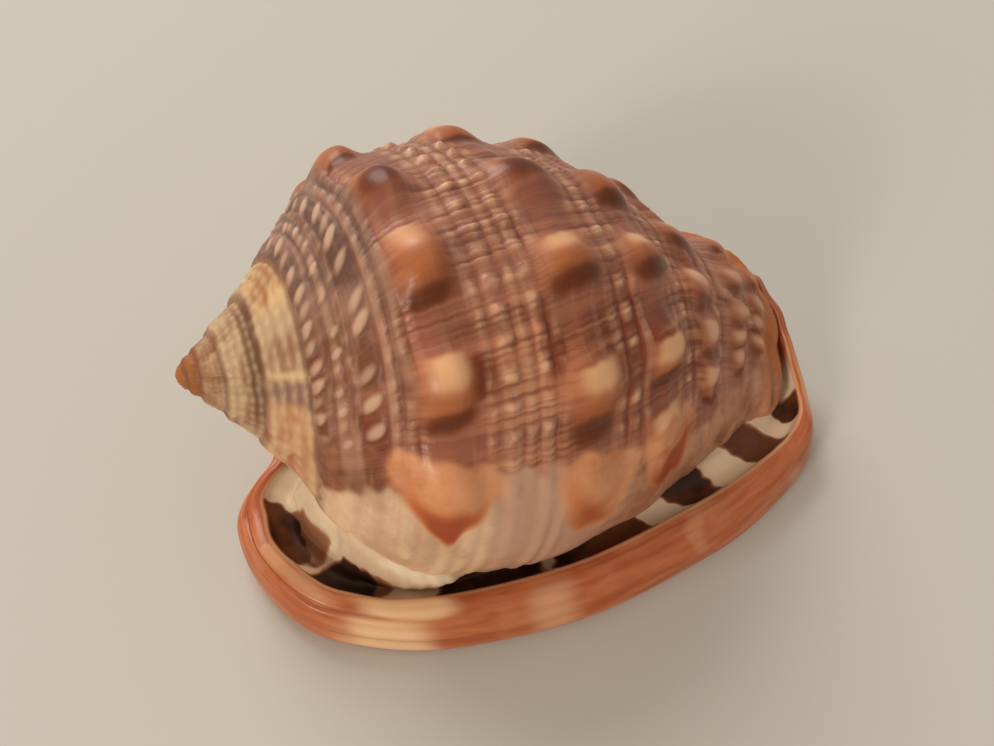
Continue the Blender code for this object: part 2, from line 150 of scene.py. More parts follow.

# colours along the knobs of each row: knob angle, degrees to the pale spot and its half height in
# millimetres, degrees to the dark spot and its half height; the dark spot is a marking, deepened as
# painted shade on the knob's lower side
KNOB_TINTS = [
    [(-18, 4.0, 2.6, -9.0, 2.2), (38, 2.4, 3.2, -9.5, 2.4), (68, 6.0, 3.6, -8.0, 2.0),
     (95, 8.0, 1.6, 0.0, 3.4), (129, 3.0, 2.4, -9.0, 1.2)],
    [(-20, 4.0, 2.6, -9.0, 2.2), (34, 2.0, 2.6, -11.5, 3.4), (62, 6.2, 2.0, -2.8, 2.2),
     (89, 8.0, 1.6, 0.0, 3.4), (125, 0.0, 2.4, -9.0, 1.2)],
    [(14, 4.0, 2.6, -7.0, 1.5), (39, -1.0, 2.8, -9.0, 1.5), (63, 5.5, 2.2, -3.5, 2.2),
     (89, 3.0, 2.2, -6.0, 2.2)],
    [(24, -2.0, 3.0, -11.0, 1.0), (39, 1.0, 2.2, -7.0, 1.8), (55, 2.0, 2.2, -6.0, 1.8),
     (75, 3.0, 2.0, -5.0, 1.8)],
    [(30, 1.0, 1.5, -5.5, 1.4)],
    [(30, 1.0, 1.4, -5.5, 1.3)]]
# peach areas over the lip, red at their foot: middle place and half width, angles of the foot and
# the top, width of the foot, how far the red leans to the front and how strong it is
LIP_AREAS = [(38.6, 9.4, -5.0, 17.0, 0.18, 0.0, 1.0), (69.5, 9.4, -8.0, 15.0, 0.55, -1.3, 0.65),
             (89.0, 8.5, -4.0, 17.0, 0.5, 1.0, 1.0)]
# soft ribs over the pale lip: place along the axis and half width
LIP_RIBS = [(24.2, 1.0), (27.2, 1.2), (29.9, 0.9), (32.4, 1.1), (35.6, 1.2), (39.2, 1.5),
            (43.0, 1.4), (47.0, 1.5), (51.4, 1.9), (57.3, 1.3), (61.0, 1.2)]
RIB_HEIGHT = 0.36
# ruddy areas: middle place and angle, half sizes
RUDDY_AREAS = [(77.0, 36.0, 5.5, 24.0), (87.0, 22.0, 7.0, 6.5), (45.5, 40.0, 3.0, 5.0),
               (58.5, 44.0, 3.0, 9.0), (96.0, 30.0, 4.0, 12.0), (23.5, 44.0, 3.5, 9.0),
               (26.5, 19.0, 5.0, 9.0), (84.0, 24.0, 8.0, 13.0)]
# upper edge of the pale lip: place along the axis, angle
PALE_EDGE = [(18, -24), (22, -10), (25, -3), (30, 5), (35, 9), (45, 14), (52, 15), (60, 13),
             (72, 9), (80, 2), (95, 4), (105, 6), (115, 8), (125, 8), (128, 14), (131, 34),
             (136, 38)]

# ---- the rim, the trough and the aperture side, as in the solid ----
RIM = [
    (-1.6, -12, 3, 12.5, 7.5), (-0.8, -22.5, 0, 13, 7), (4.4, -34.7, 0, 12.5, 8),
    (13.4, -43.6, 0, 12, 8), (32.7, -53.2, 0, 11.5, 8.8), (63, -58.8, 0, 11.5, 9.4),
    (92, -57.3, 0, 11.5, 9.4), (108, -54.3, 0, 11.5, 8.8), (123.5, -48.4, 0, 11.5, 7.4),
    (131.5, -42.3, 0, 12, 6), (135.6, -34, 0, 12.5, 4.5), (137.4, -27.5, 2, 14.5, 4),
    (137.8, -21, 5, 18.5, 3.5), (137.2, -15.5, 9, 23, 3.5), (135, -9.5, 13, 27.5, 3.5),
    (131.5, -2.5, 17, 30.5, 3.5), (125, 5, 17, 30.5, 3.5), (117, 13.5, 10, 25, 4),
    (106, 24.5, 3, 17, 4), (92, 33, 0, 11, 5), (70, 39, 0, 9.5, 6), (47, 39.5, 0, 9.5, 6),
    (28, 31, 0, 10, 6), (17, 19, 1, 10.5, 6), (12.5, 8.5, 4, 12, 5), (10, 1, 6, 14, 5),
    (5, -3.2, 5, 14, 5), (0.6, -7, 4, 13, 6),
]
TROUGH_HEIGHT = 6.5
TROUGH_RISE = 0.9
PLATE_TOP = 14.0
CALLUS_TOP = 27.0
# where the trough climbs to the body beside the spire: x over which this starts and ends
FLARE = ((10.0, 19.0), (52.0, 34.0))
FLARE_ANGLE = -22.0
GROOVE = [(118, -16.8, 2, 3), (126, -15.5, 3.5, 3), (133, -13.5, 8, 2.8), (136.4, -10.5, 15, 2.6),
          (135.4, -7, 22, 2.5), (131.5, -4, 29, 2.5), (128, -2, 36, 2.5)]
SLIT_BACK = (24.0, -13.0)
SLIT_FRONT = (122.0, -17.0)
SLIT_HALF_WIDTH = 5.4
SLIT_END_RADIUS = 3.0
SLIT_TOP = 13.0
VENTRAL_RISE = 3.0
TEETH = 22
TOOTH_DEPTH = 1.2
CHAMBER_WALL = 5.0
CHAMBER_FLOOR = 7.5
CHAMBER_FROM, CHAMBER_TO = -64.0, 150.0
CHAMBER_BACK, CHAMBER_FRONT = 27.0, 122.0
CHAMBER_SHARE = 0.5

# dark blotches in the trough: corners of their outlines in plan, and how dark they are
BLOTCHES = [
    ([(3, -9), (8.5, -10), (11.5, -16), (12, -26), (3.5, -22)], 1.0),
    ([(9, -13), (14, -14), (18.5, -25), (12, -26.5)], 0.52),
    ([(9.5, -29.5), (13.5, -27.6), (22, -29.5), (24, -33), (22, -39.5), (14, -36)], 0.95),
    ([(20, -29.0), (30, -32.5), (27, -38), (21, -40)], 0.52),
    ([(33, -46), (36, -38), (58, -38), (57, -49), (40, -49)], 0.8),
    ([(60, -50), (59, -38), (80, -38), (84, -50)], 1.0),
    ([(92, -47), (86, -38), (99.5, -36), (103, -47)], 1.0),
    ([(113.5, -45), (108, -34), (117, -31.5), (124, -42)], 0.85),
    ([(126, -36), (128, -29), (136, -33), (133, -39)], 0.9),
    ([(113, 12), (117, 8), (124, 6), (121, 12)], 0.7)]

# creases of the rim: row of the section, half width in rows and strength; the strength presses the
# section in and darkens the crease as painted shade
CREASES = [(4.9, 0.15, 0.7), (5.6, 0.22, 1.0), (6.4, 0.18, 0.7), (7.3, 0.24, 0.9), (8.2, 0.18, 0.6)]
# pale places on the rim: middle and reach along, middle and reach across, strength
RIM_PALE = [(27.0, 10.0, 5.0, 1.0, 1.0), (22.0, 10.0, 7.5, 1.8, 0.9), (55.5, 8.0, 6.8, 2.4, 0.52),
            (8.0, 9.0, 5.0, 0.8, 0.50),
            (91.0, 3.5, 6.0, 2.0, 0.4), (120.0, 5.0, 7.5, 1.5, 0.4), (134.0, 5.0, 6.5, 1.8, 0.6)]

# ---- fineness ----
RIM_STATIONS = 460            # sections round the rim
RIM_ROWS = 15                 # points that each section is drawn through
SECTION_PIECES = 8            # pieces between two of them
CUT_REACH = 0.35              # a vertex farther than this from the modelled surface is a cut face
CHAMBER_STEPS = 40
CHAMBER_SIDE_STEPS = 21
GROOVE_STEPS = 40
GROOVE_SIDES = 24

# ---- floor, light and camera, in metres ----
FLOOR_SIZE = 3.0
FLOOR_GAP = 0.0002
LIGHT_TARGET = Vector((0.0, 0.0, 0.03))
ROOM_COLOUR = (0.84, 0.77, 0.68, 1.0)
ROOM_STRENGTH = 0.56
CAMERA_TURN, CAMERA_RISE = math.radians(-23.57), math.radians(53.04)
CAMERA_TARGET = Vector((0.0002, 0.0120, 0.0100))
CAMERA_DISTANCE = 0.20766
CAMERA_LENS = 30.06

AXIS_ALONG = np.array([np.cos(TILT), 0.0, -np.sin(TILT)])
AXIS_UP = np.array([np.sin(TILT), 0.0, np.cos(TILT)])
AXIS_FRONT = np.array([0.0, -1.0, 0.0])
APEX = np.array([0.0, 0.0, APEX_HEIGHT])


# ---------------------------------------------------------------- small tools
def smoothstep(low, high, value):
    """0 before low, 1 after high and a soft S between them."""
    share = np.clip((np.asarray(value, float) - low) / (high - low), 0.0, 1.0)
    return share * share * (3.0 - 2.0 * share)


def bell(value, middle, reach):
    """1 at the middle, falling softly to 0 on both sides."""
    return np.exp(-((value - middle) / reach) ** 2)


def window(start, full, fading, gone, value):
    """Soft step up from start to full, and down again from fading to gone."""
    return smoothstep(start, full, value) * smoothstep(gone, fading, value)


def read_off(table, value, **ends):
    """Second column of a table, read off at a value of its first."""
    return np.interp(value, *zip(*table), **ends)


def smooth_curve(points, closed=False, pieces=40):
    """Catmull-Rom curve through the points, as a dense list of points."""
    knots = np.array(points, float)
    if closed:
        knots = np.vstack([knots[-1:], knots, knots[:2]])
    else:
        knots = np.vstack([2 * knots[:1] - knots[1:2], knots, 2 * knots[-1:] - knots[-2:-1]])
    share = np.linspace(0, 1, pieces, endpoint=False)[:, None]
    curve = []
    for p0, p1, p2, p3 in zip(knots[:-3], knots[1:-2], knots[2:-1], knots[3:]):
        curve.append(0.5 * (2 * p1 + (p2 - p0) * share
                            + (2 * p0 - 5 * p1 + 4 * p2 - p3) * share ** 2
                            + (3 * p1 - p0 - 3 * p2 + p3) * share ** 3))
    curve.append(knots[-2][None])
    return np.vstack(curve)


def running_length(curve):
    """Length along the curve up to each of its points."""
    steps = np.linalg.norm(np.diff(curve, axis=0), axis=1)
    return np.concatenate([[0.0], np.cumsum(steps)])


def spaced(curve, length, places):
    """Points of a curve at these lengths along it."""
    return np.stack([np.interp(places, length, column) for column in curve.T], 1)


def waves(value, other, seed):
    """Smooth irregular values between about -1 and 1, the same on each run."""
    random = np.random.default_rng(seed)
    total = np.zeros(np.broadcast(value, other).shape)
    for _ in range(5):
        across, along, start = random.uniform(-1, 1, 3)
        total += np.sin(across * value + along * other + 6.283 * start)
    return total / 3.0


# ---------------------------------------------------------------- whorls
PROFILE_CURVE = smooth_curve(PROFILE)
PROFILE_LENGTH = running_length(PROFILE_CURVE)


def place_of(along):
    """Length along the profile where it reaches this distance along the axis."""
    return np.interp(along, PROFILE_CURVE[:, 0], PROFILE_LENGTH)


def profile_at(place):
    """Distance along the axis and radius of the profile."""
    along = np.interp(place, PROFILE_LENGTH, PROFILE_CURVE[:, 0])
    radius = np.interp(place, PROFILE_LENGTH, PROFILE_CURVE[:, 1])
    return along, radius


def turn_size(angle):
    """Size of the whorl round the turn, against its size at angle 0."""
    size = TURN_GROWTH ** (-angle / 360.0)
    lip_size = TURN_GROWTH ** (-LIP_ANGLE / 360.0)
    seam = smoothstep(SEAM_BLEND, LIP_ANGLE + 360.0, angle)
    return size * (1 - seam) + lip_size * seam


def swelling(angle, along):
    """Share by which the whorl swells near the lip."""
    return read_off(SWELLING, along) * window(*SWELL_SPAN, angle)


def narrowing(angle, along):
    """Share that is left of the radius on the back side of the front end."""
    behind = smoothstep(*NARROW_ANGLES, angle) * smoothstep(LIP_ANGLE + 360.0, SEAM_BLEND, angle)
    return 1 - NARROWING * behind * smoothstep(*NARROW_ALONG, along)


def soft_floor(heights, floor, knee):
    """Heights that bend into a flat floor."""
    return floor + knee * np.logaddexp(0.0, (heights - floor) / knee)


def round_the_axis(angle, along, radius):
    """Points at an angle, a distance along the axis and a radius from it."""
    front = np.cos(np.radians(angle)) * radius
    up = np.sin(np.radians(angle)) * radius
    return (APEX + along[..., None] * AXIS_ALONG + front[..., None] * AXIS_FRONT
            + up[..., None] * AXIS_UP)


def whorl_size(angle, place):
    """Distance along the axis and radius of the plain whorl, without its relief."""
    along, radius = profile_at(place)
    follow = smoothstep(place_of(SPIRE_END), place_of(SHOULDER), place)
    size = turn_size(angle)
    radius = radius * (1 + (size - 1) * follow) * (1 + swelling(angle, along))
    radius = radius * narrowing(angle, along)
    follow = follow * smoothstep(FRONT_END[1], FRONT_END[0], along)
    along = along * (1 + (size ** LENGTH_POWER - 1) * follow)
    return along, radius


def angle_between(angle, other):
    """Signed angle from other to angle, the short way round."""
    return (angle - other + 180.0) % 360.0 - 180.0


def growth_line(angle, along):
    """Angle carried along the growth lines to the middle of the shell, in degrees."""
    steps = np.linspace(0.0, 145.0, 291)
    slope = 0.22 + 1.2 * smoothstep(37.0, 27.0, steps) - 0.75 * smoothstep(93.0, 104.0, steps)
    climb = np.concatenate([[0.0], np.cumsum(0.5 * (slope[1:] + slope[:-1]) * np.diff(steps))])
    climb -= np.interp(50.0, steps, climb)
    growth = angle - np.interp(along, steps, climb)
    ripple = 0.13 * np.sin(along * 1.75 + 1.5 * np.sin(growth * 0.09))
    return growth + 0.9 * waves(growth * 0.06, along * 0.07, 11) + ripple


def growth_grooves(growth, along):
    """1 in the fine growth grooves and 0 between them."""
    random = np.random.default_rng(7)
    places = np.cumsum(random.uniform(*GROOVE_PITCH, GROOVE_COUNT)) - 140.0
    depths = random.uniform(0.35, 1.0, GROOVE_COUNT)
    following = np.clip(np.searchsorted(places, growth), 1, GROOVE_COUNT - 1)
    groove = np.zeros(growth.shape)
    for near in (following - 1, following):
        patchy = 0.75 + 0.25 * np.sin(along * 0.21 + places[near] * 2.7)
        groove = np.maximum(groove, depths[near] * patchy * bell(growth, places[near], GROOVE_REACH))
    return groove


def row_drift(drift, angle):
    """Millimetres by which a row has drifted along the axis at this angle."""
    return drift * smoothstep(*DRIFT_ANGLES, angle)


def knob_relief(angle, place):
    """Height of the knobs and their ridges, and a mask that is 1 on the knobs."""
    shape = np.broadcast(angle, place).shape
    lift, smooth = np.zeros(shape), np.zeros(shape)
    shown = KNOB_FADED + (1 - KNOB_FADED) * smoothstep(*KNOB_FADE, angle)
    for row_along, knob_angles, height, reach, ridge, ridge_reach, drift, stretch, _ in KNOB_ROWS:
        row_place = place_of(row_along)
        row_radius = profile_at(row_place)[1]
        beside = place - row_place - row_drift(drift, angle)
        row_lift = ridge * np.exp(-(beside / ridge_reach) ** 2)
        for knob_angle in knob_angles:
            turned = np.radians(angle_between(angle, knob_angle))
            away = np.hypot(turned * row_radius * turn_size(knob_angle), beside / stretch)
            away = away / (reach * KNOB_ROUNDING)
            dome = 0.85 * np.exp(-away ** 3.0) + 0.15 * np.exp(-(away / 1.6) ** 2)
            row_lift = np.maximum(row_lift, height * dome)
            smooth = np.maximum(smooth, np.exp(-(away / 1.25) ** 4))
        lift = np.maximum(lift, row_lift * shown)
    return lift, smooth


def knob_tints(angle, growth, place):
    """Masks of the knobs' colours: pale upper side, orange edge, dark lower side that is partly painted
    shade, and painted shade at each knob's foot.
    """
    pale, orange, dark, foot_shade = (np.zeros(angle.shape) for _ in range(4))
    wobble_along = 0.9 * waves(growth * 0.22, place * 0.35, 61)
    wobble_round = 0.7 * waves(growth * 0.3, place * 0.25, 67)
    for knob_row, looks in zip(KNOB_ROWS, KNOB_TINTS):
        row_along, knob_angles, _, reach, _, _, drift, stretch, tint = knob_row
        looks = np.array(looks, float)
        row_place = place_of(row_along)
        row_radius = profile_at(row_place)[1]
        beside = place - row_place - row_drift(drift, angle) + wobble_along
        beside = beside / (0.98 * reach * stretch)
        for knob_angle in knob_angles:
            to_pale, pale_half, to_dark, dark_half = (
                np.interp(knob_angle, looks[:, 0], looks[:, number]) for number in (1, 2, 3, 4))
            middle_along = row_along + row_drift(drift, knob_angle)
            follow = growth - growth_line(np.float64(knob_angle), np.float64(middle_along))
            near = np.abs(angle_between(angle, knob_angle)) < 40.0
            mm_per_degree = np.radians(row_radius * turn_size(knob_angle))
            upward = np.where(near, angle_between(follow, 0.0) * mm_per_degree + wobble_round, 99.0)
            square = np.exp(-np.abs(beside) ** 2.6)
            pale_at = to_pale * mm_per_degree
            dark_at = to_dark * mm_per_degree
            panel = smoothstep(pale_half + 1.2, pale_half - 1.0, upward - pale_at)
            panel = panel * bell(np.minimum(upward - pale_at, 0.0), 0.0, 1.2 * pale_half)
            above = 0.28 * bell(upward, pale_at + pale_half + 2.0, 2.6)
            shown = tint * (1 - 0.45 * bell(knob_angle, 86.0, 20.0))
            pale = np.maximum(pale, square * np.maximum(panel, above) * shown)
            middle = 0.5 * (pale_at + dark_at)
            ring = np.exp(-np.abs((upward - middle) / (0.45 * (pale_at - dark_at) + 0.8)) ** 2.2)
            orange = np.maximum(orange, square * ring * tint)
            # dark lower side of the knob: a marking, deepened as painted shade
            low = np.exp(-np.abs((upward - dark_at) / dark_half) ** 2.4 - np.abs(beside * 1.05) ** 3)
            dark = np.maximum(dark, low * tint ** 3)
            # painted shade at the foot of the knob, below its dark side
            foot = dark_at - dark_half - 0.45 * reach
            foot_shade = np.maximum(foot_shade, np.exp(-((upward - foot) / (0.8 * reach)) ** 4 - beside ** 4))
    return pale, orange, dark, foot_shade


def lip_tints(angle, along):
    """Masks over the lip: pale shell, and pointed peach areas with their red lower edge."""
    edge = read_off(PALE_EDGE, along)
    wobble = 1.2 * waves(angle * 0.12, along * 0.33, 71) + 1.1 * waves(angle * 0.2, along * 1.1, 79)
    fringe = 0.9 * np.sin(along * 1.9 + 1.5 * np.sin(angle * 0.21))
    wobble = wobble + fringe * smoothstep(36.0, 28.0, along)
    pale = smoothstep(edge + 5.0 + wobble, edge - 3.0 + wobble, angle)
    peach, red = np.zeros(angle.shape), np.zeros(angle.shape)
    for middle_along, half_along, low_angle, top_angle, foot, lean, strength in LIP_AREAS:
        climb = (angle - wobble - low_angle) / (top_angle - low_angle)
        half = half_along * (foot + (1 - foot) * np.clip(1.5 * climb, 0.0, 1.0))
        side = (along + 0.5 * wobble - middle_along) / half
        area = smoothstep(-0.10, 0.15, climb) * smoothstep(1.2, 0.85, climb)
        area = area * np.exp(-np.abs(side) ** 3.2)
        peach = np.maximum(peach, area)
        height = climb - 0.30 * lean * side - 0.22 * np.minimum(np.abs(side), 1.4) ** 3
        red = np.maximum(red, strength * area * smoothstep(0.74, 0.16, height))
    return pale, peach, red


def lip_ribs(angle, along, peach):
    """Height of the soft ribs that run over the pale lip, and the mask of the hollows between, which
    are darkened as painted shade.
    """
    wobble = 0.55 * waves(angle * 0.16, along * 0.3, 73)
    rib = np.zeros(along.shape)
    for rib_along, half_width in LIP_RIBS:
        patchy = 0.88 + 0.12 * np.sin(angle * 0.31 + rib_along * 1.3)
        rib = np.maximum(rib, patchy * bell(along + wobble, rib_along, half_width))
    there = smoothstep(17.0, 6.0, angle) * window(20.0, 24.0, 60.0, 68.0, along) * (1 - 0.85 * peach)
    return RIB_HEIGHT * rib * there, 0.5 * smoothstep(0.9, 0.1, rib) * there


def ruddy_areas(angle, along):
    """Mask of the redder areas between the knobs."""
    ruddy = np.zeros(angle.shape)
    wobble = 1.2 * waves(angle * 0.2, along * 0.4, 77)
    for middle_along, middle_angle, half_along, half_angle in RUDDY_AREAS:
        inside = ((along - middle_along + wobble) / half_along) ** 2
        inside = inside + ((angle - middle_angle + wobble) / half_angle) ** 2
        ruddy = np.maximum(ruddy, np.exp(-inside ** 1.5))
    return ruddy


def suture_ledges(angle, along, growth):
    """Height of the ledges and cords of the spire, the suture's mask, the whorl's number from the
    last one, and the cords' mask."""
    lift, line, whorl, cords = (np.zeros(along.shape) for _ in range(4))
    younger = np.full(along.shape, 40.0)
    for turn in range(5):
        suture = read_off(SUTURE, angle + 360.0 * turn, right=0.6)
        suture = suture + 0.16 * waves(angle * 0.09, np.full(along.shape, turn * 3.0), 91)
        suture = suture + 0.12 * waves(angle * 0.35, np.full(along.shape, turn * 3.0), 93)
        width = np.clip(younger - suture, 0.5, 8.0)
        share = np.clip((along - suture) / width, 0.0, 1.0)
        size = SUTURE_LEDGE * np.minimum(1.0, 0.25 + suture / 16.0)
        here = smoothstep(-0.25, 0.15, along - suture) * (along < younger)
        fall = (1 - smoothstep(0.0, 0.85, share)) * here
        dip = 0.35 * bell(along, suture - 0.45, 0.5)
        lift += size * (fall - dip)
        line = np.maximum(line, bell(along, suture - 0.2, 0.42))
        if turn > 0:
            beads = 0.55 + 0.45 * np.cos(2 * np.pi * growth / SPIRE_BEAD_PITCH + 1.9 * turn)
            for cord_share in SPIRE_CORDS:
                cord = bell(share, cord_share, 0.075) * here * (0.45 + 0.55 * beads)
                cords = np.maximum(cords, cord)
                lift += SPIRE_CORD_HEIGHT * size * cord
        whorl += (along < suture)
        younger = suture
    lumps = 0.36 * waves(growth * 0.42, along * 0.8, 95) + 0.6 * bell(angle, VARIX_ANGLE, 2.4)
    lift += window(3.0, 8.0, 17.5, 19.5, along) * lumps
    return lift, line, whorl, cords


def spiral_grooves(angle, growth, along):
    """1 in the spiral grooves between the cords, which are also darkened as painted shade, and the
    ridge before the canal.
    """
    drift = 0.3 * waves(growth * 0.05, along * 0.05, 5)
    groove = np.zeros(along.shape)
    for groove_along, strength in SPIRAL_GROOVES:
        patchy = 0.7 + 0.3 * np.sin(growth * 0.23 + groove_along * 2.1)
        reach = 0.42 if groove_along < 100.0 else 0.85
        groove = np.maximum(groove, strength * patchy * bell(along + drift, groove_along, reach))
    from_ridge = along - read_off(FRONT_RIDGE, angle)
    near = window(-14.0, -4.0, 46.0, 62.0, angle)
    ridge = bell(from_ridge, 0.0, 1.0) * near
    groove = np.maximum(groove, 0.8 * bell(from_ridge, -1.9, 0.7) * near)
    return groove, ridge


def cord_relief(growth, along, groove):
    """Height of the spiral cords with their beads, and the mask of the bead tips, which are painted
    paler, partly as painted highlight.
    """
    lift, tips = np.zeros(along.shape), np.zeros(along.shape)
    drift = 0.3 * waves(growth * 0.05, along * 0.05, 5)
    phase = 2 * np.pi * growth / BEAD_PITCH + 1.6 * waves(growth * 0.05, along * 0.15, 3)
    beads = (0.5 + 0.5 * np.cos(phase)) ** 1.2
    for cord_along, height, half_width, beaded in CORDS:
        across = np.exp(-np.abs((along + drift - cord_along) / half_width) ** 2.6)
        lift += height * across * (1 - beaded + 1.5 * beaded * beads) * (1 - 0.6 * groove)
        tip = across * (0.30 + 0.70 * beaded * beads ** 1.5)
        tips = np.maximum(tips, tip * (1 - 0.5 * groove))
    return lift, tips


def seed_relief(angle, along):
    """Height of the slanted seed-shaped beads below the suture, 0 to 1 and in millimetres."""
    mask, lift = np.zeros(along.shape), np.zeros(along.shape)
    turned = math.radians(SEED_TURN)
    radius = np.interp(along, PROFILE_CURVE[:, 0], PROFILE_CURVE[:, 1]) * turn_size(angle)
    for row_along, seed_angles, height, half_length, half_width in SEED_ROWS:
        for number, seed_angle in enumerate(seed_angles):
            older = np.radians(angle - seed_angle) * radius
            beside = along - row_along - 0.35 * np.cos(number * 1.7)
            lengthwise = older * math.cos(turned) + beside * math.sin(turned)
            across = beside * math.cos(turned) - older * math.sin(turned)
            inside = (lengthwise / half_length) ** 2 + (across / half_width) ** 2
            seed = np.exp(-inside ** 1.5) * (0.8 + 0.2 * np.sin(number * 2.4))
            mask = np.maximum(mask, seed)
            lift = np.maximum(lift, height * seed)
    return mask, lift


def whorl_surface(angle, place):
    """Points of the finished outside of the whorls, and the masks of their colours."""
    real_along, radius = whorl_size(angle, place)
    along = profile_at(place)[0]
    growth = growth_line(angle, along)
    groove = growth_grooves(growth, along)
    knobs, smooth = knob_relief(angle, place)
    on_body = smoothstep(20.5, 24.0, along)
    above_lip = window(2.0, 26.0, 285.0, 312.0, angle)
    fine = on_body * (0.2 + 0.8 * above_lip) * (1 - 0.92 * smooth)
    grooved = fine * smoothstep(128.0, 112.0, along)
    grooved = grooved * (0.12 + 0.88 * smoothstep(29.0, 35.0, along))
    cords, tips = cord_relief(growth, along, groove * grooved)
    spiral, ridge = spiral_grooves(angle, growth, along)
    spiral = spiral * fine
    ledges, suture, whorl, spire_cords = suture_ledges(angle, along, growth)
    spire_cords = spire_cords * smoothstep(3.6, 5.0, along)
    seeds, seed_lift = seed_relief(angle, along)
    seed_share = smoothstep(4.0, 20.0, angle)
    folds = 0.30 * waves(growth * 0.10, along * 0.01, 21) * on_body * (1 - smooth)
    taper = smoothstep(139.4, 136.0, along)
    lip, peach, red = lip_tints(angle, along)
    ribs, hollows = lip_ribs(angle, along, peach)
    grooves = GROOVE_DEPTH * groove * grooved + SPIRAL_DEPTH * spiral
    small = cords * fine + ledges + seed_lift * seed_share + folds + ribs + 1.1 * ridge - grooves
    points = round_the_axis(angle, real_along, radius + knobs + small * taper)
    points[..., 1] -= LEAN * smoothstep(*LEAN_ALONG, along)
    canal = smoothstep(*CANAL_X, points[..., 0]) * smoothstep(*CANAL_Y, points[..., 1])
    points[..., 2] = soft_floor(points[..., 2], UNDERSIDE + CANAL_LIFT * canal, UNDERSIDE_KNEE)
    tips = np.maximum(tips * fine, ridge)
    masks = {
        "knobs": np.stack(knob_tints(angle, growth, place), -1) * (1 - lip)[..., None],
        "lip": np.stack([lip, peach, red, ruddy_areas(angle, along)], -1),
        # the last detail channel holds the grooves and rib dips that the material darkens as painted
        # shade
        "detail": np.stack([suture, np.maximum(tips, spire_cords), seeds * seed_share,
                            np.maximum(np.maximum(groove * grooved, spiral), hollows)], -1),
        "course": np.stack([growth / 100.0, along / 100.0, angle / 100.0,
                            np.clip(whorl, 0, 4) / 4.0], -1),
    }
    return points, masks


def whorl_angles():
    """Angles of the grid's columns: close together where the shell shows, wide underneath."""
    stretches = [(-50, 0, 42), (0, 115, 184), (115, 150, 44), (150, 235, 50), (235, 310, 18)]
    return np.concatenate([np.linspace(low, high, count, endpoint=False)
                           for low, high, count in stretches])


def whorl_places():
    """Places of the grid's rows: close together on the spire."""
    stretches = [(0.25, 30, 74), (30, 120, 138), (120, PROFILE_LENGTH[-1] - 0.4, 72)]
    rows = [np.linspace(low, high, count, endpoint=False) for low, high, count in stretches]
    return np.concatenate(rows + [[PROFILE_LENGTH[-1] - 0.4]])


# ---------------------------------------------------------------- rim and aperture side
def rim_stations(count):
    """Rim values at evenly spaced stations round its outline, and the length up to each."""
    curve = smooth_curve(RIM, closed=True)
    length = running_length(curve[:, :2])
    places = np.linspace(0, length[-1], count, endpoint=False)
    return spaced(curve, length, places), places


def slit_share(x):
    """0 at the back end of the slit and 1 at its front end."""
    return (x - SLIT_BACK[0]) / (SLIT_FRONT[0] - SLIT_BACK[0])


def slit_line(x):
    """Nearest place on the middle line of the slit, for each x."""
    share = np.clip(slit_share(x), 0.0, 1.0)
    across = SLIT_BACK[1] + share * (SLIT_FRONT[1] - SLIT_BACK[1])
    return SLIT_BACK[0] + share * (SLIT_FRONT[0] - SLIT_BACK[0]), across


def slit_half_width(share):
    """Half width of the slit along its length."""
    return SLIT_END_RADIUS + (SLIT_HALF_WIDTH - SLIT_END_RADIUS) * np.sin(np.pi * share) ** 0.5


def tooth_wave(x):
    """0 between the teeth and 1 on a tooth, along the slit."""
    share = slit_share(x)
    return (0.5 - 0.5 * np.cos(2 * np.pi * TEETH * share)) * window(0, 0.05, 0.95, 1, share)


def body_side(x, y, inward_x, inward_y):
    """Depth from the rim at which each section meets the side of the body, and the height there."""
    place = np.linspace(place_of(8.0), place_of(70.0), 160)
    angle = np.full(place.shape, FLARE_ANGLE)
    side = round_the_axis(angle, *whorl_size(angle, place))
    depth = np.linspace(6.0, 45.0, 391)[:, None]
    behind = y + inward_y * depth - np.interp(x + inward_x * depth, side[:, 0], side[:, 1])
    met = depth[np.argmax(behind > 0.0, axis=0), 0]
    return met, np.interp(x + inward_x * met, side[:, 0], side[:, 2])


def depth_inside(x, y, corners):
    """Distance in from the nearest side of an outline without hollows; below 0 outside it."""
    corners = np.array(corners, float)
    middle = corners.mean(axis=0)
    inside = np.full(x.shape, 99.0)
    for start, end in zip(corners, np.roll(corners, -1, axis=0)):
        side = (end - start) / np.linalg.norm(end - start)
        away = side[0] * (y - start[1]) - side[1] * (x - start[0])
        sense = np.sign(side[0] * (middle[1] - start[1]) - side[1] * (middle[0] - start[0]))
        inside = np.minimum(inside, sense * away)
    return inside


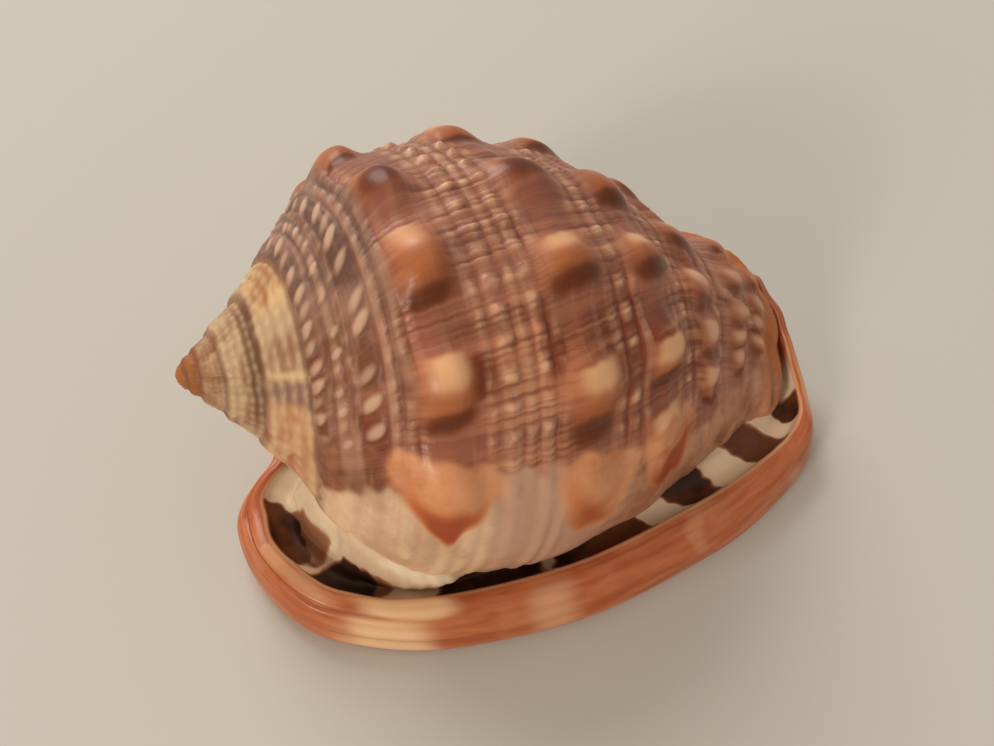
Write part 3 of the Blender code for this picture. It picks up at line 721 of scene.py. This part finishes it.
def plate_surface():
    """Closed section curves round the rim, and the masks of their colours."""
    stations, lengths = rim_stations(RIM_STATIONS)
    x, y, edge, crest, width = stations.T
    edge = np.maximum(edge, 0.0)
    scallops = np.sin(lengths * 0.9 + np.sin(lengths * 0.31)) * smoothstep(-26.0, -12.0, y) * (x > 90)
    crest = crest + 0.55 * scallops
    middle_x, middle_y = slit_line(x)
    reach = np.hypot(middle_x - x, middle_y - y)
    inward_x = (middle_x - x) / reach
    inward_y = (middle_y - y) / reach
    inner = reach - 2.5
    groove = width + np.minimum(4.5, 0.4 * (inner - width))
    trough = TROUGH_HEIGHT + TROUGH_RISE * edge
    at_back = smoothstep(SLIT_BACK[0] + 8.0, SLIT_BACK[0] - 6.0, x)
    top = PLATE_TOP + (CALLUS_TOP - PLATE_TOP) * at_back
    meet = groove + (inner - groove) * 0.3
    meet_height = trough + (top - trough) * 0.2
    flare = smoothstep(*FLARE[0], x) * smoothstep(*FLARE[1], x) * smoothstep(-8.0, -20.0, y)
    body, body_height = body_side(x, y, inward_x, inward_y)
    meet = meet + (body + 0.6 - meet) * flare
    meet_height = meet_height + (body_height + 0.6 - meet_height) * flare
    top = top + (np.maximum(body_height, top) - top) * flare
    rows = [
        (inner, top),
        (meet, meet_height),
        (groove + 0.55 * (meet - groove), trough + (0.5 - 0.36 * flare) * (meet_height - trough)),
        (groove, trough),
        (width + 0.25 * (groove - width), trough + 0.30 * (crest - trough)),
        (width, crest - 0.7),
        (width * 0.72, crest),
        (width * 0.38, crest - 0.9),
        (width * 0.12, edge + 0.68 * (crest - edge)),
        (width * 0.0, edge + 0.36 * (crest - edge)),
        (width * 0.06, edge + 0.10 * (crest - edge)),
        (width * 0.20, edge),
        (width * 0.85, edge * 0.8),
        (width + (inner - width) * 0.5, edge * 0.4 + 0.35 * VENTRAL_RISE),
        (inner, VENTRAL_RISE),
    ]
    flat = np.array([np.concatenate([d, np.broadcast_to(z, x.shape)]) for d, z in rows])
    curve = smooth_curve(flat, pieces=SECTION_PIECES)
    depth, height = np.split(curve, 2, axis=1)
    height = np.maximum(height, 0.0)
    row = np.linspace(-1, RIM_ROWS - 2, len(curve))[:, None] * np.ones(RIM_STATIONS)
    ribs = 0.5 + 0.5 * np.cos(2 * np.pi * x / 3.1 + 0.6 * np.sin(height * 0.4))
    depth = depth - 0.35 * ribs * flare * smoothstep(2.2, 1.2, row)
    depth, height, crease = crease_rim(row, depth, height, lengths, x, y)
    points = np.stack([x + inward_x * depth, y + inward_y * depth, height], -1)
    points, teeth, gaps = raise_teeth(row, points)
    masks = plate_masks(row, points, lengths, crease, teeth, gaps)
    return points, masks


def crease_rim(row, depth, height, lengths, x, y):
    """Lengthwise creases of the rolled rim: they press the section in by up to about 1 mm, and the mask
    they give back is darkened as painted shade.
    """
    on_rim = window(3.2, 4.2, 8.8, 9.6, row)
    drift = 0.16 * waves(lengths * 0.045, row * 0.0, 31)
    crease = np.zeros(row.shape)
    for place, reach, share in CREASES:
        patchy = 0.25 + 1.1 * waves(lengths * 0.05 + place * 9.0, row * 0.0, int(place * 100))
        crease = np.maximum(crease, share * np.clip(patchy, 0, 1) * bell(row + drift, place, reach))
    left_end = smoothstep(36.0, 12.0, x) * smoothstep(6.0, -4.0, y)
    deep = np.maximum(bell(row, 5.6 + 0.3 * left_end, 0.15), 0.5 * bell(row, 6.7, 0.15)) * left_end
    pressed = on_rim * (0.15 * crease) + 0.9 * deep
    inside = np.clip((row - 4.6) / 3.0, 0.0, 1.0)
    depth = depth + pressed * inside
    height = height - pressed * (1 - inside)
    return depth, height, np.maximum(on_rim * crease, deep)


def raise_teeth(row, points):
    """Teeth on both sides of the slit, as ridges on the aperture side."""
    x, y = points[..., 0], points[..., 1]
    middle = slit_line(x)[1]
    away = np.abs(y - middle) - slit_half_width(np.clip(slit_share(x), 0.0, 1.0))
    below = smoothstep(10.6, 11.4, row)
    lip_side = (y < middle)
    length = np.where(lip_side, 11.0, 7.0)
    back, front = SLIT_BACK[0], SLIT_FRONT[0]
    beside_slit = window(back - 3.0, back + 1.0, front - 1.0, front + 3.0, x)
    strength = below * smoothstep(length, 1.0, away) * beside_slit
    wave = tooth_wave(x)
    height = np.where(lip_side, 1.3, 0.9)
    raised = strength * (wave - 0.35) * height
    points = points.copy()
    points[..., 2] = np.maximum(points[..., 2] - raised, 0.15 * below)
    return points, strength * wave, strength * beside_slit ** 3 * (1 - wave)


def plate_masks(row, points, lengths, crease, teeth, gaps):
    """Masks that the rim's material colours by."""
    x, y = points[..., 0], points[..., 1]
    blotch = np.zeros(row.shape)
    rough = 0.9 * waves(x * 0.9, y * 0.9, 41) + 0.4 * waves(x * 2.3, y * 2.1, 43)
    for corners, darkness in BLOTCHES:
        inside = depth_inside(x, y, corners) + rough
        blotch = np.maximum(blotch, darkness * smoothstep(-0.9, 1.2, inside))
    low = smoothstep(13.0, 10.5, points[..., 2] + rough)
    blotch = blotch * np.maximum(smoothstep(2.2, 2.6, row), low)
    in_trough = smoothstep(4.3, 3.7, row)
    below = smoothstep(9.2, 10.4, row)
    pale = 0.55 * bell(row, 4.25, 0.3)
    for middle_x, reach_x, middle_row, reach_row, strength in RIM_PALE:
        away = (x + 1.2 * waves(lengths * 0.3, row * 2.3, 47) - middle_x) / reach_x
        across = (row - middle_row) / reach_row
        pale = np.maximum(pale, strength * np.exp(-np.abs(away) ** 2.8 - across ** 4) * (y < -20.0))
    patches = smoothstep(0.3, 0.9, waves(lengths * 0.09, row * 0.2, 53)) * (y > -20.0)
    pale = np.maximum(pale, 0.6 * patches)
    return {
        "relief": np.stack([in_trough, blotch * in_trough, below, pale], -1),
        "areas": np.stack([crease, teeth, gaps, np.zeros(row.shape)], -1),
        "course": np.stack([np.broadcast_to(lengths, row.shape) / 100.0, row / 10.0, x / 100.0,
                            y / 100.0], -1),
    }


# ---------------------------------------------------------------- cutters
def room_below(angle, along):
    """Radius at which a line from the axis reaches the floor of the chamber."""
    height = APEX_HEIGHT + along * AXIS_ALONG[2] - CHAMBER_FLOOR
    fall = max(-np.sin(np.radians(angle)) * AXIS_UP[2], 0.01)
    return height / fall


def chamber_sections(turns, side_steps):
    """Closed lens-shaped sections of the body chamber, one for each angle."""
    share = np.linspace(0, 1, side_steps)
    sections = []
    for angle in np.linspace(CHAMBER_FROM, CHAMBER_TO, turns):
        ending = 1 - 0.75 * smoothstep(CHAMBER_TO - 70.0, CHAMBER_TO, angle)
        middle = 0.5 * (CHAMBER_BACK + CHAMBER_FRONT)
        half = 0.5 * (CHAMBER_FRONT - CHAMBER_BACK) * (0.35 + 0.65 * ending)
        place = place_of(middle + half * (2 * share - 1))
        here = np.full(side_steps, max(angle, LIP_ANGLE))
        along, radius = whorl_size(here, place)
        outer = np.minimum(radius - CHAMBER_WALL, room_below(angle, along))
        thickness = CHAMBER_SHARE * outer * np.sqrt(np.sin(np.pi * share)) * ending
        turn = np.full(side_steps, angle)
        outside = round_the_axis(turn, along, outer)
        inside = round_the_axis(turn, along, outer - thickness)[1:-1][::-1]
        sections.append(np.vstack([outside, inside]))
    return np.stack(sections)


def slit_loops():
    """Plan outline of the toothed slit, at its bottom and its top."""
    steps = TEETH * 8
    share = np.linspace(0, 1, steps + 1)
    x = SLIT_BACK[0] + share * (SLIT_FRONT[0] - SLIT_BACK[0])
    middle = slit_line(x)[1]
    teeth = TOOTH_DEPTH * tooth_wave(x)
    lip_side = np.stack([x, middle - slit_half_width(share) + teeth], 1)
    inner_side = np.stack([x, middle + slit_half_width(share) - 0.7 * teeth], 1)
    bend = np.radians(np.linspace(15, 165, 11))
    front_end = np.stack([SLIT_FRONT[0] + SLIT_END_RADIUS * np.sin(bend),
                          SLIT_FRONT[1] - SLIT_END_RADIUS * np.cos(bend)], 1)
    back_end = np.stack([SLIT_BACK[0] - SLIT_END_RADIUS * np.sin(bend),
                         SLIT_BACK[1] + SLIT_END_RADIUS * np.cos(bend)], 1)
    outline = np.vstack([lip_side, front_end, inner_side[::-1], back_end])
    return np.stack([np.column_stack([outline, np.full(len(outline), height)])
                     for height in (-VENTRAL_RISE, SLIT_TOP)])


def groove_loops(steps, sides):
    """Rings of the groove that climbs the canal from the slit to its tip."""
    curve = smooth_curve(GROOVE)
    length = running_length(curve[:, :3])
    middle, radius = np.split(spaced(curve, length, np.linspace(0, length[-1], steps)), [3], axis=1)
    ahead = np.gradient(middle, axis=0)
    ahead /= np.linalg.norm(ahead, axis=1)[:, None]
    across = np.cross(ahead, [-0.6, 0.0, 1.0])
    across /= np.linalg.norm(across, axis=1)[:, None]
    over = np.cross(ahead, across)
    turns = np.linspace(0, 2 * np.pi, sides, endpoint=False)
    return np.stack([middle + radius * (np.cos(turn) * across + np.sin(turn) * over)
                     for turn in turns], 1)


# ---------------------------------------------------------------- meshes
def loft(name, loops, start=None, end=None):
    """Closed mesh over a stack of closed loops; its ends close with a point or a flat face."""
    rings, sides = loops.shape[:2]
    vertices = loops.reshape(-1, 3)
    number = np.arange(rings * sides).reshape(rings, sides)
    following = np.roll(number, -1, axis=1)
    quads = np.stack([number[:-1], following[:-1], following[1:], number[1:]], -1).reshape(-1, 4)
    faces = [tuple(quad) for quad in quads.tolist()]
    for ring, point in ((number[0], start), (number[-1], end)):
        if point is None:
            faces.append(tuple(ring.tolist()))
        else:
            vertices = np.vstack([vertices, point])
            tip = len(vertices) - 1
            faces += [(int(a), int(b), tip) for a, b in zip(ring, np.roll(ring, -1))]
    mesh = bpy.data.meshes.new(name)
    mesh.from_pydata((vertices - SHIFT) * MM, [], faces)
    mesh_data = bmesh.new()
    mesh_data.from_mesh(mesh)
    bmesh.ops.recalc_face_normals(mesh_data, faces=mesh_data.faces)
    mesh_data.to_mesh(mesh)
    mesh_data.free()
    mesh.shade_smooth()
    item = bpy.data.objects.new(name, mesh)
    bpy.context.scene.collection.objects.link(item)
    return item


def cut_away(item, cutters):
    """Cuts the closed cutters out of the item for good."""
    for cutter in cutters:
        step = item.modifiers.new(cutter.name, 'BOOLEAN')
        step.object = cutter
        step.operation = 'DIFFERENCE'
        step.solver = 'EXACT'
    graph = bpy.context.evaluated_depsgraph_get()
    mesh = bpy.data.meshes.new_from_object(item.evaluated_get(graph))
    item.modifiers.clear()
    item.data = mesh
    mesh.shade_smooth()


def store_masks(item, points, masks):
    """Gives each vertex the masks of the nearest modelled point; cut faces are marked inside."""
    places = (points.reshape(-1, 3) - SHIFT) * MM
    tree = kdtree.KDTree(len(places))
    for number, place in enumerate(places):
        tree.insert(place, number)
    tree.balance()
    found = [tree.find(vertex.co) for vertex in item.data.vertices]
    nearest = [number for _, number, _ in found]
    for name, values in masks.items():
        attribute = item.data.attributes.new(name, 'FLOAT_COLOR', 'POINT')
        chosen = values.reshape(-1, 4)[nearest]
        attribute.data.foreach_set('color', chosen.astype(np.float32).ravel())
    inside = np.array([away > CUT_REACH * MM for _, _, away in found], np.float32)
    item.data.attributes.new("inside", 'FLOAT', 'POINT').data.foreach_set('value', inside)


# ---------------------------------------------------------------- materials
def colour(red, green, blue):
    """Linear colour from 8-bit sRGB values."""
    linear = []
    for value in (red, green, blue):
        share = value / 255.0
        linear.append(share / 12.92 if share <= 0.04045 else ((share + 0.055) / 1.055) ** 2.4)
    return (*linear, 1.0)


class Nodes:
    """Short ways to add shader nodes to one material. A colour is 8-bit sRGB values or a socket."""

    def __init__(self, name):
        self.material = bpy.data.materials.new(name)
        self.material.use_nodes = True
        self.tree = self.material.node_tree
        self.shader = self.tree.nodes["Principled BSDF"]

    def fill(self, node, inputs):
        """Links or sets the inputs of a node."""
        for name, value in inputs.items():
            if isinstance(value, bpy.types.NodeSocket):
                self.tree.links.new(value, node.inputs[name])
            else:
                node.inputs[name].default_value = colour(*value) if isinstance(value, tuple) else value

    def add(self, kind, inputs, **settings):
        """A new node with its settings and inputs."""
        node = self.tree.nodes.new("ShaderNode" + kind)
        for name, value in settings.items():
            setattr(node, name, value)
        self.fill(node, inputs)
        return node

    def attribute(self, name):
        """The four channels of a stored mask."""
        node = self.add("Attribute", {}, attribute_name=name)
        split = self.add("SeparateColor", {"Color": node.outputs["Color"]})
        return [*split.outputs, node.outputs["Alpha"]]

    def math(self, operation, *values):
        return self.add("Math", dict(enumerate(values)), operation=operation).outputs["Value"]

    def times(self, product, *factors):
        for factor in factors:
            product = self.math('MULTIPLY', product, factor)
        return product

    def step(self, value, low, high):
        """Soft step from 0 at low to 1 at high."""
        inputs = {"Value": value, "From Min": low, "From Max": high}
        return self.add("MapRange", inputs, interpolation_type='SMOOTHSTEP').outputs["Result"]

    def window(self, value, start, full, fading, gone):
        """Soft step up and down again."""
        return self.times(self.step(value, start, full), self.step(value, gone, fading))

    def mix(self, share, first, second):
        """Mixes two colours."""
        return self.add("Mix", {0: share, 6: first, 7: second}, data_type='RGBA').outputs[2]

    def tones(self, value, low, high, first, second):
        """Goes from one colour to another between two values."""
        return self.mix(self.step(value, low, high), first, second)

    def paint(self, base, layers):
        """Lays colours over the base: mask, strength and colour of each."""
        for mask, strength, tint in layers:
            base = self.mix(self.times(mask, strength), base, tint)
        return base

    def noise(self, vector, scale, detail=3.0, roughness=0.5):
        inputs = {"Vector": vector, "Scale": scale, "Detail": detail, "Roughness": roughness}
        return self.add("TexNoise", inputs).outputs["Fac"]

    def drawn_noise(self, first, first_scale, second, second_scale, start, detail=2.0,
                    roughness=0.5, scale=1.0):
        """Noise drawn out along one of two coordinates."""
        axes = {0: self.times(first, first_scale), 1: self.times(second, second_scale), 2: start}
        return self.noise(self.add("CombineXYZ", axes).outputs["Vector"], scale, detail, roughness)

    def object_place(self):
        return self.add("TexCoord", {}).outputs["Object"]

    def bumps(self, layers):
        """Bumps the shader's normal: height, strength and distance in metres of each layer."""
        below = {}
        for height, strength, distance in layers:
            inputs = {"Height": height, "Strength": strength, "Distance": distance, **below}
            below = {"Normal": self.add("Bump", inputs).outputs["Normal"]}
        self.fill(self.shader, below)


def worn_spire(n, mottle, worn_lines, along, turn, tips):
    """Colours of the pale, worn whorls of the spire."""
    last = n.step(along, 0.130, 0.142)
    band = n.times(n.window(along, 0.106, 0.120, 0.130, 0.140), n.window(turn, -0.2, 0.05, 0.95, 1.15))
    peach = n.tones(mottle, 0.36, 0.62, (172, 102, 64), (200, 152, 112))
    sand = n.tones(mottle, 0.40, 0.62, (166, 112, 68), (210, 170, 120))
    old = n.tones(mottle, 0.4, 0.6, (156, 108, 74), (178, 136, 104))
    return n.paint(n.tones(mottle, 0.34, 0.60, (146, 102, 74), (184, 152, 118)), [
        (last, n.step(turn, 0.55, 0.25), peach),
        (last, n.window(turn, 0.20, 0.28, 0.34, 0.40), (134, 94, 80)),
        (last, n.step(turn, 0.74, 0.88), sand),
        (n.times(last, 0.8), n.window(turn, 0.36, 0.40, 0.405, 0.45), (214, 176, 130)),
        (band, n.step(mottle, 0.62, 0.50), (104, 62, 36)),
        # paler cord tips on the spire: partly the shell's colour, partly painted highlight
        (tips, 0.45, (224, 192, 150)),
        (n.step(worn_lines, 0.46, 0.30), 0.22, (132, 90, 64)),
        (n.step(along, 0.078, 0.070), 0.7, old)])


def canal_mask(n, along, turn):
    """Mask of the canal's orange wall at the front end."""
    canal = n.step(n.math('MULTIPLY_ADD', turn, 0.47, along), 1.512, 1.532)
    outer = n.math('MAXIMUM', n.step(along, 1.262, 1.278), n.step(turn, 0.60, 0.70))
    wall = n.times(n.step(along, 1.29, 1.31), n.step(turn, -0.02, 0.12))
    return n.math('MAXIMUM', n.times(canal, outer, n.step(along, 1.10, 1.16)), wall)


def whorl_material():
    """Mauve brown body with peach and cream knobs, dark spots and a pale, worn spire, with painted
    light: highlights on the knob panels and bead tips, shade in the grooves, under the knobs and at
    their foot.
    """
    n = Nodes("whorl_surface")
    pale, orange, dark, foot_shade = n.attribute("knobs")
    lip, peach, red, ruddy = n.attribute("lip")
    suture, tips, seeds, groove = n.attribute("detail")
    growth, along, turn, whorl = n.attribute("course")
    place = n.object_place()
    streak = n.drawn_noise(growth, 30.0, along, 3.0, 0.0, 3.0, 0.6)
    threads = n.drawn_noise(growth, 2.0, along, 44.0, 4.0)
    speckle = n.drawn_noise(growth, 16.0, along, 28.0, 9.0)
    worn_lines = n.drawn_noise(growth, 7.0, along, 60.0, 7.0, 3.0)
    mottle = n.drawn_noise(growth, 3.4, along, 30.0, 3.0)
    cloud = n.noise(place, 90.0, 4.0, 0.6)
    broad = n.noise(place, 30.0, 2.0)
    ragged = n.times(n.math('SUBTRACT', cloud, 0.5), 0.5)

    def torn(mask, low, high):
        """Step whose edge is made uneven."""
        return n.step(n.math('MULTIPLY_ADD', ragged, n.step(mask, 0.02, 0.4), mask), low, high)

    # the ramp under the spire and the front end have colours of their own
    ramp = n.step(along, 0.35, 0.33)
    front = n.step(along, 0.98, 1.12)
    ramp_low = n.tones(cloud, 0.42, 0.60, (110, 58, 30), (152, 94, 64))
    ramp_high = n.tones(cloud, 0.42, 0.60, (96, 68, 56), (130, 98, 84))
    redness = n.math('MULTIPLY_ADD', ramp, -0.45, 0.90)
    bright = n.math('MULTIPLY_ADD', ramp, 0.35, 0.38)
    bright = n.math('MULTIPLY_ADD', n.step(speckle, 0.42, 0.58), 0.55, bright)
    bead = n.mix(ramp, (234, 184, 146), (196, 152, 124))
    orange_share = n.math('MULTIPLY_ADD', front, -0.40, 0.85)
    # cream at the middle of the pale knob panels: the pale marking, brightened as painted highlight on
    # the knob tops
    cream_and_highlight = n.mix(front, (232, 178, 132), (224, 172, 142))

    cream = n.tones(cloud, 0.36, 0.62, (198, 158, 124), (226, 188, 152))
    skirt = n.tones(along, 0.44, 0.52, cream, (198, 154, 128))
    skirt_front = n.tones(cloud, 0.36, 0.62, (166, 108, 80), (204, 150, 120))
    base = n.paint(n.tones(streak, 0.38, 0.62, (122, 56, 32), (188, 118, 84)), [
        (n.step(broad, 0.46, 0.60), 0.50, (166, 106, 86)),
        (n.step(turn, 0.45, 0.85), 0.42, (146, 98, 84)),
        (ramp, 0.9, n.tones(turn, 0.40, 0.78, ramp_low, ramp_high)),
        (front, 0.50, (186, 130, 106)),
        (torn(ruddy, 0.15, 0.75), redness, (126, 46, 16)),
        (n.step(threads, 0.50, 0.66), 0.30, (202, 150, 124)),
        # pale bead tips: the shell's paler beads, brightened as painted highlight on their crests
        (tips, bright, bead),
        (n.step(seeds, 0.10, 0.90), 0.85, (206, 166, 138)),
        # painted shade at the foot of each knob
        (foot_shade, 0.60, (152, 92, 72)),
        (torn(orange, 0.10, 0.95), orange_share, (170, 96, 50)),
        # dark spots on the knobs' lower sides: a marking, deepened as painted shade
        (torn(dark, 0.10, 0.75), 0.85, (124, 60, 26)),
        (n.step(dark, 0.40, 1.0), 0.70, (88, 36, 12)),
        # pale knob panels, creamiest at their middle as painted highlight
        (torn(pale, 0.05, 0.90), 1.0, n.tones(pale, 0.30, 1.10, (188, 116, 78), cream_and_highlight)),
        (torn(lip, 0.10, 0.90), 0.95, n.tones(along, 0.64, 0.84, skirt, skirt_front)),
        (torn(peach, 0.18, 0.62), 1.0, n.tones(cloud, 0.3, 0.65, (196, 120, 76), (220, 152, 108))),
        (torn(red, 0.12, 0.68), 0.90, n.tones(red, 0.35, 0.90, (188, 98, 46), (156, 60, 16))),
        # grooves and the dips between the lip's ribs darkened: partly the shell's own dark groove
        # lines, partly painted shade in the recesses
        (n.step(groove, 0.12, 0.80), 0.50, n.tones(lip, 0.3, 0.7, (106, 48, 28), (186, 140, 112))),
        (n.step(whorl, 0.12, 0.26), 1.0, worn_spire(n, mottle, worn_lines, along, turn, tips)),
        (n.step(along, 0.045, 0.035), 1.0, (160, 98, 50)),
        (suture, 0.62, (104, 62, 44)),
        (canal_mask(n, along, turn), 0.9, n.mix(cloud, (166, 84, 32), (206, 124, 62)))])

    spire = n.step(whorl, 0.12, 0.3)
    gloss = n.math('MULTIPLY_ADD', spire, 0.06, n.math('MULTIPLY_ADD', streak, 0.20, 0.28))
    n.fill(n.shader, {"Base Color": base, "Roughness": n.math('MULTIPLY_ADD', ramp, 0.12, gloss),
                      "Specular IOR Level": 0.25, "Coat Weight": 0.05, "Coat Roughness": 0.2})
    plain = n.math('MAXIMUM', n.math('MAXIMUM', pale, dark), n.times(lip, 0.7))
    ridge = n.times(streak, n.math('SUBTRACT', 1.0, plain), n.step(along, 0.18, 0.26))
    n.bumps([(ridge, 0.5, 0.0007), (n.times(threads, 0.6), 0.3, 0.0006),
             (n.times(worn_lines, spire), 0.2, 0.0007), (n.noise(place, 900.0), 0.05, 0.0003)])
    return n.material


def rim_material():
    """Orange peach rim with pale patches and creases darkened as painted shade, blotched trough and
    glossy salmon aperture side.
    """
    n = Nodes("rim_surface")
    trough, blotch, below, pale = n.attribute("relief")
    crease, teeth, gaps, _ = n.attribute("areas")
    length, row, plan_x, plan_y = n.attribute("course")
    inside = n.add("Attribute", {}, attribute_name="inside").outputs["Fac"]
    place = n.object_place()
    streak = n.drawn_noise(length, 7.0, row, 15.0, 0.0, 3.0)
    patches = n.drawn_noise(length, 4.2, row, 1.0, 2.0, scale=1.6)
    cloud = n.noise(place, 60.0, 3.0, 0.55)

    rim = n.paint(n.tones(streak, 0.30, 0.70, (170, 84, 44), (196, 114, 70)), [
        (n.step(patches, 0.52, 0.66), 0.35, (206, 144, 98)),
        (n.step(pale, 0.2, 0.85), 0.90, (242, 198, 152)),
        # creases darkened as painted shade, darkest in the deepest ones
        (crease, 0.30, (134, 64, 32)),
        (n.step(crease, 0.80, 1.0), 1.0, (92, 44, 24))])
    behind = n.times(n.step(plan_x, 1.18, 1.27), n.step(plan_y, -0.27, -0.21))
    floor = n.paint(n.tones(cloud, 0.36, 0.60, (214, 184, 152), (232, 208, 178)), [
        (behind, 1.0, n.tones(streak, 0.35, 0.65, (140, 72, 34), (182, 106, 60))),
        (n.step(blotch, 0.08, 0.40), 0.9, (150, 84, 44)),
        (n.step(blotch, 0.35, 0.75), 1.0, n.tones(cloud, 0.44, 0.58, (52, 27, 15), (106, 58, 30)))])
    shield = n.paint(n.tones(cloud, 0.35, 0.62, (224, 132, 84), (238, 164, 112)), [
        (n.step(teeth, 0.25, 0.7), 1.0, (246, 220, 190)),
        (n.step(gaps, 0.45, 0.85), 0.8, (122, 58, 32))])
    cut = n.tones(cloud, 0.4, 0.6, (150, 84, 48), (196, 128, 86))
    base = n.paint(rim, [(trough, 1.0, floor), (below, 1.0, shield), (inside, 1.0, cut)])

    gloss = n.math('MULTIPLY_ADD', streak, 0.14, n.math('MULTIPLY_ADD', trough, 0.2, 0.26))
    n.fill(n.shader, {"Base Color": base, "Roughness": gloss, "Specular IOR Level": 0.3,
                      "Coat Weight": 0.12, "Coat Roughness": 0.15})
    height = n.times(streak, n.math('SUBTRACT', 1.0, n.math('MAXIMUM', below, trough)))
    n.bumps([(height, 0.18, 0.0006), (n.noise(place, 800.0), 0.05, 0.0003)])
    return n.material


def floor_material():
    """Plain pale board."""
    n = Nodes("pale_floor")
    n.fill(n.shader, {"Base Color": (200, 195, 186), "Roughness": 0.85, "Specular IOR Level": 0.15})
    return n.material


# ---------------------------------------------------------------- the scene
def make_shell():
    """The whorls and the rim, cut open at the aperture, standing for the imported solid."""
    whorls = loft("whorls", whorl_points, APEX, whorl_tip)
    rim = loft("rim", rim_points)
    cutters = [loft("chamber_cutter", chamber_sections(CHAMBER_STEPS, CHAMBER_SIDE_STEPS)),
               loft("slit_cutter", slit_loops()),
               loft("groove_cutter", groove_loops(GROOVE_STEPS, GROOVE_SIDES))]
    for item, points, masks, material in ((whorls, whorl_points, whorl_masks, whorl_material()),
                                          (rim, rim_points, rim_masks, rim_material())):
        cut_away(item, cutters)
        store_masks(item, points, masks)
        item.data.materials.clear()
        item.data.materials.append(material)
        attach(item, "root")
        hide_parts("shell")
    for cutter in cutters:
        bpy.data.objects.remove(cutter, do_unlink=True)


def make_floor():
    bpy.ops.mesh.primitive_plane_add(size=FLOOR_SIZE, location=(0.0, 0.0, cad_box[0][2] - FLOOR_GAP))
    floor = bpy.context.active_object
    floor.name = "floor"
    floor.data.materials.append(floor_material())


def add_item(name, data, place, facing):
    """Puts a light or the camera at a place, turned to look along a direction."""
    item = bpy.data.objects.new(name, data)
    item.location = place
    item.rotation_euler = facing.to_track_quat('-Z', 'Y').to_euler()
    bpy.context.scene.collection.objects.link(item)
    return item


def add_area_light(name, place, energy, size, tint):
    """Soft square light at a place, turned to the shell."""
    light = bpy.data.lights.new(name, 'AREA')
    light.energy = energy
    light.size = size
    light.color = tint
    add_item(name, light, place, LIGHT_TARGET - Vector(place))


def make_lights():
    add_area_light("sky", (-0.2, 1.7, 1.6), 32.0, 1.2, (1.0, 0.98, 0.95))
    add_area_light("window", (-1.3, -0.65, 0.65), 11.0, 0.35, (1.0, 0.90, 0.76))
    world = bpy.data.worlds.new("soft_room")
    bpy.context.scene.world = world
    world.use_nodes = True
    background = world.node_tree.nodes["Background"]
    background.inputs["Color"].default_value = ROOM_COLOUR
    background.inputs["Strength"].default_value = ROOM_STRENGTH


def make_camera():
    """Camera above the lip side, looking down on the shell."""
    level = math.cos(CAMERA_RISE)
    back = Vector((math.sin(CAMERA_TURN) * level, -math.cos(CAMERA_TURN) * level,
                   math.sin(CAMERA_RISE)))
    camera = bpy.data.cameras.new("camera")
    camera.sensor_width = 36.0
    camera.lens = CAMERA_LENS
    camera.clip_start = 0.005
    bpy.context.scene.camera = add_item("camera", camera, CAMERA_TARGET + back * CAMERA_DISTANCE, -back)


grid_angle, grid_place = np.meshgrid(whorl_angles(), whorl_places())
whorl_points, whorl_masks = whorl_surface(grid_angle, grid_place)
whorl_tip = whorl_surface(np.zeros((1, 1)), PROFILE_LENGTH[-1:, None])[0][0, 0]
rim_points, rim_masks = plate_surface()
every_point = np.vstack([whorl_points.reshape(-1, 3), rim_points.reshape(-1, 3), APEX])
low, high = every_point.min(axis=0), every_point.max(axis=0)
SHIFT = 0.5 * (low + high) - 0.5 * (np.array(cad_box[0]) + np.array(cad_box[1])) / MM
SHIFT[2] = 0.0

make_shell()
make_floor()
make_lights()
make_camera()
bpy.context.scene.view_settings.view_transform = 'Standard'
